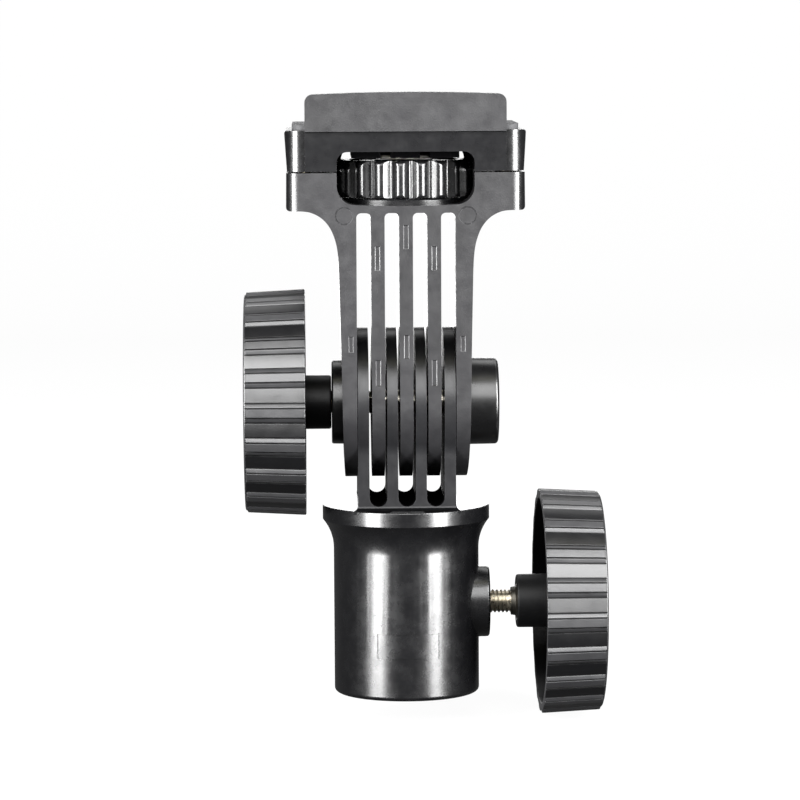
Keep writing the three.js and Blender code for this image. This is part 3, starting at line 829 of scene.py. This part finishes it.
def fork_material(x, y, z, normal):
    on_head = z < HINGE_Z and math.hypot(y, z - HINGE_Z) > 18.3 and abs(normal.x) < 0.3
    if (abs(normal.y) > 0.93 and abs(y) > 18.2) or on_head:
        return 1
    if abs(x) > 16.2 and 20 < z < 41.6:
        return 2
    # fillets along the front edges of the fins and necks: painted highlight
    if normal.y < -0.25 and abs(normal.x) > 0.3 and y < -15 and z < 79.5 and abs(x) < 16.3:
        return 3
    return 0


fork = make_fork()
paint(fork, fork_material)
finish(
    fork, "fork_shell", "fork", "tilt_fork",
    [GLOSS, MATTE, BOSS, PAINTED_EDGE_HIGHLIGHT], sharp=36,
)

# ------------------------------------------------------------------ platform cap with its lip
LIP_X = 24.55  # half the lip's width
LIP_TOP = 107.65
LIP_CORNER = 2
# panel that leans forward to the lip, and the lip itself: y, z
LIP_SIDE = [
    (-15.6, PARTING + 0.2), (-15.6, CAP_TOP - 1), (-17.6, CAP_TOP - 1), (-17.6, 113),
    (-21.6, 113), (-21.6, 98.6), (-20.7, 98.35), (-18.6, PARTING + 0.2),
]


def cap_radius(x, y, z, first, second):
    if z < PARTING + 0.5:
        return 0.3
    if y < -17.0 and z > 99.2:
        return 0.5
    if y < -20 and z > 97.4:
        return 0.32
    if abs(y) > 18.3 and abs(x) < 17.0 and z < 94.2:
        return 1.2
    if z > 98.0:
        return 0.4
    return 0.25


def make_cap():
    half = [(PLATE_X - 0.3, PARTING + 0.2), (PLATE_X + 0.35, CAP_TOP, 0.7), (0, CAP_TOP)]
    half = round_off(half, seg=5, closed=False)[:-1]
    cap = prism(half + flipped(half), -PLATE_Y, PLATE_Y, "Y")
    meet(cap, prism(rounded_plan(PLATE_X + 0.4, PLATE_Y, 4.5, 10), 0, 120, "Z"))
    lip = prism(LIP_SIDE, -LIP_X, LIP_X, "X")
    flat = LIP_X - LIP_CORNER
    corner = arc(flat, LIP_TOP - LIP_CORNER, LIP_CORNER, 0, PI / 2, 8)
    crown = [(x, LIP_TOP + 0.5 * (1 - (x / flat) ** 2)) for x in range(18, -19, -6)]
    face = [(-LIP_X, 80), (LIP_X, 80)] + corner + crown + flipped(corner)
    meet(lip, prism(face, -40, 40, "Y"))
    join(cap, lip)
    cut(cap, make_window())
    soften(cap, cap_radius, widest=1.2, seg=4, least=32)
    # a thin border round the lip's big flat faces keeps their shading flat
    with editing(cap) as edit:
        big = [
            face
            for face in edit.faces
            if face.calc_area() > 150
            and abs(face.normal.y) > 0.9
            and face.calc_center_median().z > 97
        ]
        bmesh.ops.inset_individual(edit, faces=big, thickness=0.12, use_even_offset=True)
    cut(cap, rod(3.6, 80, 130, 40))
    for x, y in SCREWS:
        cut(cap, rod(1.55, 80, 96.4, 24, "Z", (x, y, 0)))
    return cap


def cap_material(x, y, z, normal):
    # the ribs and roof inside the thumbwheel window: painted shade
    if abs(x) < 17.6 and abs(y) < 17.9 and z < 94.2:
        return 3
    if abs(normal.y) > 0.93 and (y < -21.2 or y > 18.2 or (y > -17.8 and z > 99.5)):
        return 1
    if y < -18.4 and abs(x) < 24.7 and z < 98.75:
        return 2
    return 0


cap = make_cap()
paint(cap, cap_material)
finish(
    cap, "cap_shell", "fork", "platform_cap",
    [GLOSS, MATTE, BAND, PAINTED_SHADE], sharp=36,
)

# ------------------------------------------------------------------ rubber pad with fine ribs
PAD_X = 27.7  # half the pad's width
PAD_FRONT, PAD_BACK = -17.1, 17.4
PAD_BOTTOM, PAD_VALLEY, PAD_TOP = 98.85, 100.02, 100.3
PAD_RIBS = 26


def make_pad():
    pitch = (PAD_BACK - PAD_FRONT) / PAD_RIBS
    section = [(PAD_FRONT, PAD_BOTTOM), (PAD_BACK, PAD_BOTTOM)]
    for i in range(PAD_RIBS):
        y = PAD_BACK - i * pitch
        section += [
            (y, PAD_VALLEY),
            (y - pitch * 0.12, PAD_TOP),
            (y - pitch * 0.68, PAD_TOP),
            (y - pitch * 0.8, PAD_VALLEY),
        ]
    section.append((PAD_FRONT, PAD_VALLEY))
    pad = prism(section, -PAD_X, PAD_X, "X")
    plan = rounded_plan(PAD_X, (PAD_BACK - PAD_FRONT) / 2, 2.5, 8)
    meet(pad, prism(raised(plan, (PAD_FRONT + PAD_BACK) / 2), 90, 110, "Z"))
    cut(pad, rod(5.2, 90, 110, 48))
    return pad


finish(make_pad(), "pad", "fork", "rubber_pad", [RUBBER], sharp=30)

# ------------------------------------------------------------------ thumbwheel
WHEEL_R = 17.2
WHEEL_LOW, WHEEL_HIGH = 82.15, 91.2
WHEEL_TEETH = 20
TOOTH_R, VALLEY_R = 1.9, 0.85
HALF_TOOTH = 2.764  # arc length from a tooth's crest to the middle of the valley
FLANK = 50  # degrees turned by tooth and valley where the straight flank begins
# (largest radius, height) of the rings, from the bore over the top and back underneath
WHEEL_TOP_FACE = [
    (3.45, WHEEL_HIGH), (7.0, WHEEL_HIGH), (7.2, WHEEL_HIGH - 0.2), (7.2, WHEEL_HIGH - 0.35),
    (13.5, WHEEL_HIGH - 0.35), (13.7, WHEEL_HIGH - 0.05), (14.0, WHEEL_HIGH),
]
WHEEL_RIM = [
    (14.6, WHEEL_HIGH), (16.0, WHEEL_HIGH), (16.35, WHEEL_HIGH - 0.12),
    (16.7, WHEEL_HIGH - 0.38), (17.0, WHEEL_HIGH - 0.72), (17.2, WHEEL_HIGH - 1.2),
    (17.2, WHEEL_LOW + 0.8), (17.05, WHEEL_LOW + 0.4), (16.75, WHEEL_LOW + 0.12),
    (16.4, WHEEL_LOW), (14.6, WHEEL_LOW),
]
WHEEL_UNDERSIDE = [
    (13.85, WHEEL_LOW), (13.65, WHEEL_LOW + 0.3), (13.65, WHEEL_LOW + 2.1),
    (7.4, WHEEL_LOW + 2.1), (7.2, WHEEL_LOW + 1.9), (7.2, WHEEL_LOW + 0.2),
    (7.0, WHEEL_LOW), (3.45, WHEEL_LOW),
]


def half_tooth():
    """(arc length, depth): rounded tooth, straight flank, round valley."""
    flank = math.radians(FLANK)
    shape = []
    for degrees in (0, 9, 18, 26, 34, 42, FLANK):
        a = math.radians(degrees)
        shape.append((TOOTH_R * math.sin(a), TOOTH_R * (1 - math.cos(a))))
    start, start_depth = shape[-1]
    end = HALF_TOOTH - VALLEY_R * math.sin(flank)
    end_depth = start_depth + (end - start) * math.tan(flank) * 0.8
    shape.append(((start + end) / 2, (start_depth + end_depth) / 2))
    for degrees in (FLANK, 38, 26, 13, 0):
        a = math.radians(degrees)
        depth = end_depth + VALLEY_R * (math.cos(a) - math.cos(flank))
        shape.append((HALF_TOOTH - VALLEY_R * math.sin(a), depth))
    return shape


def make_wheel():
    shape = half_tooth()
    outline = []  # (angle, depth)
    for i in range(WHEEL_TEETH):
        crest = i * (2 * PI / WHEEL_TEETH) - PI / 2 + math.radians(-4.3)
        outline += [(crest - s / WHEEL_R, depth) for s, depth in reversed(shape[1:])]
        outline += [(crest + s / WHEEL_R, depth) for s, depth in shape[:-1]]

    def ring(largest, z, toothed):
        row = []
        for angle, depth in outline:
            radius = min(WHEEL_R - depth, largest) if toothed else largest
            row.append((radius * math.cos(angle), radius * math.sin(angle), z))
        return row

    rows = [ring(*station, False) for station in WHEEL_TOP_FACE]
    rows += [ring(*station, True) for station in WHEEL_RIM]
    rows += [ring(*station, False) for station in WHEEL_UNDERSIDE]
    wheel = rings(rows, closed=True)
    cut(wheel, prism(hexagon(11.5), WHEEL_LOW - 1, WHEEL_LOW + 4.5, "Z"))
    return wheel


finish(make_wheel(), "wheel", "wheel", "thumbwheel", [WHEEL], sharp=42)


# ------------------------------------------------------------------ screws with real threads
def threaded(radius, pitch, low, high, depth, per_turn, sides=48, chamfer=0.6, axis="Z"):
    """Rod with a helical V thread; both ends run out on a chamfer."""
    rows = [[(0.0, 0.0, low)]]
    steps = int((high - low) / pitch * per_turn)
    for k in range(steps + 1):
        h = low + (high - low) * k / steps
        limit = radius - max(0.0, chamfer - (h - low)) - max(0.0, chamfer - (high - h))
        row = []
        for i in range(sides):
            angle = 2 * PI * i / sides
            phase = (h / pitch - i / sides) % 1.0
            sunk = min(1.0, max(0.0, (abs(2 * phase - 1) - 0.08) / 0.8))
            r = min(radius - depth * sunk, limit)
            row.append((r * math.cos(angle), r * math.sin(angle), h))
        rows.append(row)
    rows.append([(0.0, 0.0, high)])
    return rings(rows, axis)


def even_radius(radius):
    return lambda x, y, z, first, second: radius


def make_lock_screw():
    screw = threaded(radius=3.0, pitch=1.0, low=11.7, high=41.0, depth=0.52, per_turn=8, axis="X")
    return move(screw, LOCK)


def make_bolt():
    bolt = threaded(radius=3.0, pitch=1.0, low=-34.5, high=-6.0, depth=0.5, per_turn=6, axis="X")
    move(bolt, HINGE)
    join(bolt, rod(2.95, -8, 19, 48, "X", HINGE))
    head = prism(raised(hexagon(10.0), HINGE_Z), 18.1, 22.1, "X")
    dome = [(0, 18.0), (6.2, 18.0), (6.2, 21.3), (5.0, 22.1), (0, 22.1)]
    meet(head, lathe(dome, 64, "X", HINGE))
    soften(head, even_radius(0.2), widest=0.2, seg=2, least=25)
    join(bolt, head)
    return bolt


def make_mounting_screw():
    """Quarter-inch screw, with its head in the thumbwheel."""
    stud = threaded(radius=3.1, pitch=1.27, low=88.5, high=106.1, depth=0.62, per_turn=10)
    join(stud, rod(3.1, 84.3, 90.6, 48))
    head = prism(hexagon(11.0), 82.35, 86.35, "Z")
    soften(head, even_radius(0.3), widest=0.3, seg=2, least=25)
    join(stud, head)
    return stud


finish(
    make_lock_screw(), "clamp_screw", "clamp_knob", "lock_screw", [STEEL],
    sharp=50, weighted=False,
)
finish(
    make_bolt(), "hinge_bolt", "fork", "tilt_bolt", [STEEL], weighted=False
)
finish(
    make_mounting_screw(), "quarter_inch_screw", "wheel", "mounting_screw", [STEEL],
    weighted=False,
)

# ------------------------------------------------------------------ washers, bushes, clamp shoe
finish(
    washer(3.5, 7.1, 91.4, 92.4), "thrust_washer", "fork", "wheel_washer", [NYLON]
)
finish(
    washer(3.4, 6.4, -18.3, -17.1, "X", HINGE),
    "hinge_washer", "hinge_washer", "tilt_washer", [STEEL],
)

INSERT_BORE = 3.35


def knurled(outer, x0, x1, at, teeth=28):
    """Threaded insert: a knurled bush with a plain groove round its middle."""
    count = teeth * 4
    middle = (x0 + x1) / 2
    # radius, x, depth of the knurling
    stations = [
        (INSERT_BORE, x0 + 0.4, 0.0),
        (INSERT_BORE + 0.3, x0, 0.0),
        (outer - 0.45, x0, 0.0),
        (outer, x0 + 0.3, 0.2),
        (outer, middle - 0.8, 0.2),
        (outer - 0.35, middle - 0.7, 0.0),
        (outer - 0.35, middle + 0.7, 0.0),
        (outer, middle + 0.8, 0.2),
        (outer, x1 - 0.3, 0.2),
        (outer - 0.45, x1, 0.0),
        (INSERT_BORE + 0.3, x1, 0.0),
        (INSERT_BORE, x1 - 0.4, 0.0),
    ]
    rows = []
    for radius, x, knurl in stations:
        row = []
        for i in range(count):
            r = radius - (knurl if i % 4 in (0, 1) else 0)
            angle = 2 * PI * i / count
            row.append((r * math.cos(angle), r * math.sin(angle), x))
        rows.append(row)
    return move(rings(rows, "X", closed=True), at)


finish(
    knurled(4.45, 12.5, 20.6, LOCK),
    "clamp_bush", "stand_socket", "clamp_insert", [BRASS], sharp=30,
)
finish(
    knurled(4.6, -29.9, -18.8, HINGE),
    "tilt_bush", "hinge_knob", "tilt_knob_insert", [BRASS], sharp=30,
)

# profiles along X: radius, x, corner radius
SHOE = [(0, 9.0), (3.7, 9.0, 0.5), (3.7, 11.5, 0.25), (0, 11.5)]
NOSE = [
    (INSERT_BORE, 26.2, 0.1), (3.5, 26.2, 0.1), (3.66, 27.3, 0.1),
    (4.2, 27.6), (4.2, 40.5, 0.2), (INSERT_BORE, 40.5),
]
finish(
    lathe(round_off(SHOE, seg=4, closed=False), 48, "X", LOCK),
    "pressure_shoe", "clamp_shoe", "clamp_shoe", [BRASS],
)
finish(
    lathe(round_off(NOSE, seg=3), 64, "X", LOCK),
    "clamp_knob_nose", "clamp_knob", "lock_knob_insert", [BLACK_STEEL],
)


# ------------------------------------------------------------------ cap screws
def make_cap_screw(x, y):
    """Pan-head screw with a cross recess, its head downwards."""
    z = 82.5  # top of the head
    screw = threaded(
        radius=1.45, pitch=1.0, low=z - 0.5, high=z + 10.2, depth=0.35, per_turn=6,
        sides=24, chamfer=0.9,
    )
    head = [(0, z - 2.2), (2.3, z - 2.2, 0.6), (2.75, z - 1.5, 0.4), (2.75, z, 0.1), (0, z)]
    join(screw, lathe(round_off(head, seg=4, closed=False), 40))
    for half_x, half_y in ((0.35, 1.6), (1.6, 0.35)):
        cut(screw, prism(rectangle(-half_x, -half_y, half_x, half_y), z - 3, z - 1.1, "Z"))
    return move(screw, (x, y, 0))


for i, spot in enumerate(SCREWS, 1):
    finish(
        make_cap_screw(*spot), f"cap_screw_body_{i}", "fork", f"cap_screw_{i}",
        [STEEL], weighted=False,
    )

# ------------------------------------------------------------------ hand knobs
KNOB_MOUTH_R = 28.3
KNOB_FACE_R = 27.5
KNOB_LENGTH = 15.1
KNOB_CROWN = 0.25  # rise of the closed face
KNOB_WALL = 2.6
GRIP_STEP = 18.0  # degrees from rib to rib
GRIP_COUNT = 20
GRIP_DEPTH = 0.55  # valleys below rib tops
# from the rib's edge down into the valley: degrees from the rib's middle, drop
GRIP_EDGE = [
    (2.1, 0.05), (2.3, 0.27), (2.7, 0.29), (2.95, 0.12), (3.5, 0.2),
    (4.4, GRIP_DEPTH - 0.1), (4.7, GRIP_DEPTH + 0.1), (4.9, GRIP_DEPTH + 0.2),
    (5.25, GRIP_DEPTH + 0.2), (5.45, GRIP_DEPTH + 0.02),
]


def make_knob(hub_out, pocket_r, pocket_end, bore=None):
    """Knob along X, mouth at 0 and closed face at +x.

    The rings run from the closed face round the rim and the inside to the hub, which stands out
    of the mouth by hub_out. A bore of (radius, end) may go on from the hub's pocket.
    """
    grip = [(a, 0.0) for a in (-1.9, -0.95, 0.0, 0.95, 1.9)] + GRIP_EDGE
    grip += [(a, GRIP_DEPTH) for a in (5.8, 7.4, 9.0, 10.6, 12.2)]
    grip += [(GRIP_STEP - a, drop) for a, drop in reversed(GRIP_EDGE)]
    angles = [
        (math.radians(i * GRIP_STEP + a), drop) for i in range(GRIP_COUNT) for a, drop in grip
    ]

    def ring(r, x, pattern=1.0):
        """r is the rib-top radius; pattern fades the grip into a plain circle."""
        row = []
        for a, drop in angles:
            radius = r - (drop * pattern + GRIP_DEPTH * (1 - pattern))
            row.append((radius * math.cos(a), radius * math.sin(a), x))
        return row

    def even(r, x):
        return [(r * math.cos(a), r * math.sin(a), x) for a, _ in angles]

    def rib_top(x):
        return KNOB_MOUTH_R + (KNOB_FACE_R - KNOB_MOUTH_R) * x / KNOB_LENGTH

    face, mouth, end = KNOB_FACE_R, KNOB_MOUTH_R, KNOB_LENGTH
    inner_face, inner_mouth, floor = face - KNOB_WALL, mouth - KNOB_WALL, end - KNOB_WALL
    rows = [[(0.0, 0.0, end + KNOB_CROWN)]]
    for u in (0.12, 0.25, 0.4, 0.55, 0.7, 0.82, 0.91, 0.965):
        rows.append(even((face - 1.1) * u, end + KNOB_CROWN * (1 - u * u)))
    rows += [even(face - 0.95, end + 0.02), even(face - 0.74, end - 0.05)]
    rows.append(even(face - 0.6, end - 0.18))
    for back, pattern in ((0.32, 0.0), (0.42, 0.0), (0.5, 0.8), (0.58, 1.0)):
        rows.append(ring(rib_top(end - back), end - back, pattern))
    for x in (end - 2, end * 0.66, end * 0.33, 1.0):
        rows.append(ring(rib_top(x), x))
    rows.append(ring(rib_top(0.3) - 0.02, 0.3))
    rows.append(ring(rib_top(0) - 0.12, 0.1))
    rows.append(ring(rib_top(0) - 0.36, 0.0, 0.9))
    # inside of the wall and the floor, the hub's outside, then its pocket: radius, x
    inside = [
        (inner_mouth + 0.35, 0.0), (inner_mouth + 0.1, 0.1), (inner_mouth, 0.35),
        (inner_face - 0.3, floor - 1.2), (inner_face - 0.65, floor - 0.35),
        (inner_face - 1.5, floor), (15.0, floor), (7.8, floor),
        (7.0, floor - 0.3), (6.75, floor - 1.0), (6.72, 2.0),
        (6.7, -hub_out + 0.5), (6.57, -hub_out + 0.15), (6.25, -hub_out),
        (pocket_r + 0.25, -hub_out), (pocket_r, -hub_out + 0.25), (pocket_r, pocket_end),
    ]
    if bore:
        inside += [(bore[0], pocket_end), bore]
    rows += [even(r, x) for r, x in inside]
    rows.append([(0.0, 0.0, inside[-1][1])])
    knob = rings(rows, "X")
    for i in range(3):
        # a web right across, cut in two by the hub
        web = box((3.5, floor + 0.8), (-0.9, 0.9), (-face + 1.6, face - 1.6))
        cut(web, rod(5.2, 0, 20, 32, "X"))
        join(knob, turn(web, i * 60 + 30, "X"))
    return knob


def knob_material(x, y, z, normal):
    """Textured ribs and satin valleys; painted shade in the creases, inside the cup and on the hub.
    """
    r = math.hypot(y, z)
    a = math.degrees(math.atan2(z, y)) % GRIP_STEP
    a = min(a, GRIP_STEP - a)
    if 0.2 < x < 14.75 and r > 25.9:
        # the grip's creases: painted shade
        if 2.1 < a < 2.85 or 4.6 < a < 5.4:
            return 2
        return 1 if a > 5.4 else 0
    # inside the cup and on the hub: painted shade
    if x <= 14.0 and ((r < 25.75 and x > -0.1) or (x < 0.2 and r < 6.8)):
        return 2
    return 0


KNOB_MATS = [KNOB_RIB, KNOB_VALLEY, KNOB_PAINTED_SHADE]

# the tilt knob is mirrored, so that its closed face looks to the left
knob = make_knob(hub_out=6.4, pocket_r=4.9, pocket_end=5.2, bore=(HINGE_HOLE_R, 11.5))
paint(knob, knob_material)
knob.data.transform(Matrix.Scale(-1, 4, (1, 0, 0)))
outward(knob)
turn(knob, 0.1, "X")
move(knob, (-24.9, 0, HINGE_Z))
finish(knob, "tilt_knob_shell", "hinge_knob", "tilt_knob", KNOB_MATS)

# the clamp knob sits a little out of square on its thread
knob = make_knob(hub_out=5.9, pocket_r=4.6, pocket_end=9.0)
paint(knob, knob_material)
turn(knob, 3.4, "X")
move(knob, (33.5, 0, LOCK_Z))
pivot = Matrix.Translation((20, 0, LOCK_Z))
knob.data.transform(pivot @ Matrix.Rotation(math.radians(0.8), 4, "Z") @ pivot.inverted())
finish(knob, "clamp_knob_shell", "clamp_knob", "lock_knob", KNOB_MATS)


# ------------------------------------------------------------------ stage and world, metres
def stage_material():
    """Pale studio paper: near white to the camera, soft grey to other rays."""
    material = bpy.data.materials.new("studio_paper")
    tree = empty_tree(material)
    out = add_node(tree, "ShaderNodeOutputMaterial")
    path = add_node(tree, "ShaderNodeLightPath")
    diffuse = add_node(tree, "ShaderNodeBsdfDiffuse", {"Color": (0.6, 0.6, 0.6, 1)})
    glow = add_node(tree, "ShaderNodeEmission", {"Color": (1, 1, 1, 1), "Strength": 1.02})
    glow_share = 0.93  # of what the camera sees; the rest is lit paper
    share = add_node(
        tree,
        "ShaderNodeMath",
        {0: path.outputs["Is Camera Ray"], 1: glow_share},
        operation="MULTIPLY",
    )
    inputs = {0: share.outputs[0], 1: diffuse.outputs[0], 2: glow.outputs[0]}
    mix = add_node(tree, "ShaderNodeMixShader", inputs)
    feed(tree, out.inputs["Surface"], mix.outputs[0])
    return material


def make_stage():
    """Floor that curves up into a back wall."""
    floor_z, half_width, bend = -0.0496, 3.5, 0.6
    profile = [(-3.0, floor_z)]
    for i in range(17):
        a = PI / 2 * i / 16
        profile.append((1.2 + bend * math.sin(a), floor_z + bend * (1 - math.cos(a))))
    profile.append((1.8, 3.0))
    verts = [(x, y, z) for y, z in profile for x in (-half_width, half_width)]
    faces = [[2 * i, 2 * i + 1, 2 * i + 3, 2 * i + 2] for i in range(len(profile) - 1)]
    floor = link(verts, faces, "studio_floor")
    for face in floor.data.polygons:
        face.use_smooth = True
    floor.data.materials.append(stage_material())
    floor.visible_glossy = floor.visible_diffuse = floor.visible_shadow = False


def make_world():
    """White to the camera, dim to everything else."""
    world = bpy.data.worlds.new("studio")
    SCENE.world = world
    tree = empty_tree(world)
    out = add_node(tree, "ShaderNodeOutputWorld")
    sky = add_node(tree, "ShaderNodeBackground", {"Color": (1.0, 1.0, 1.0, 1)})
    path = add_node(tree, "ShaderNodeLightPath")
    inputs = {"To Min": 0.10, "To Max": 1.0, "Value": path.outputs["Is Camera Ray"]}
    strength = add_node(tree, "ShaderNodeMapRange", inputs)
    feed(tree, sky.inputs["Strength"], strength.outputs[0])
    feed(tree, out.inputs["Surface"], sky.outputs[0])


make_stage()
make_world()

# ------------------------------------------------------------------ lights and camera, metres
AIM = Vector((0.0, 0.0, 0.03))


def direction(azimuth, elevation):
    """Unit vector from the subject; azimuth 0 is the front and positive is to the right."""
    a, e = math.radians(azimuth), math.radians(elevation)
    return Vector((math.sin(a) * math.cos(e), -math.cos(a) * math.cos(e), math.sin(e)))


def softbox(name, azimuth, elevation, distance, size, radiance, color=(1, 1, 1)):
    """Area light of (width, height) aimed at AIM, with power set from its radiance."""
    back = direction(azimuth, elevation)
    width, height = size
    light = bpy.data.lights.new(name, "AREA")
    light.shape = "RECTANGLE"
    light.size, light.size_y = width, height
    light.energy = radiance * PI * width * height
    light.color = color
    lamp = add_object(name, light)
    lamp.location = AIM + back * distance
    lamp.rotation_euler = back.to_track_quat("Z", "Y").to_euler()
    lamp.visible_camera = False


STRIP = dict(elevation=17, distance=0.72, size=(0.29, 0.85), radiance=54)
softbox("strip_left", azimuth=-47, **STRIP)
softbox("strip_right", azimuth=46.5, **STRIP)
softbox("front_top", azimuth=0, elevation=34, distance=1.05, size=(0.55, 0.70), radiance=10.5)
softbox(
    "overhead", azimuth=0, elevation=66, distance=0.9, size=(0.5, 0.12), radiance=2.0,
    color=(0.95, 0.92, 0.62),
)
softbox("back_top", azimuth=180, elevation=50, distance=1.1, size=(1.0, 0.6), radiance=2.0)
softbox("back_panel", azimuth=180, elevation=4, distance=0.6, size=(0.34, 0.17), radiance=4.5)


def make_camera():
    distance, view_width, roll = 0.95, 0.2, -0.34  # view width at the target; roll in degrees
    target = Vector((-0.00132, 0.0, 0.03105))
    lens = bpy.data.cameras.new("camera")
    camera = add_object("camera", lens)
    back = direction(azimuth=-1.2, elevation=5.5)
    camera.location = target + back * distance
    facing = back.to_track_quat("Z", "Y").to_matrix()
    camera.rotation_euler = (facing @ Matrix.Rotation(math.radians(roll), 3, "Z")).to_euler()
    lens.sensor_width = 36.0
    lens.lens = 36.0 * distance / view_width
    lens.clip_start, lens.clip_end = 0.05, 20.0
    SCENE.camera = camera


make_camera()
SCENE.view_settings.view_transform = "Standard"
SCENE.view_settings.look = "None"
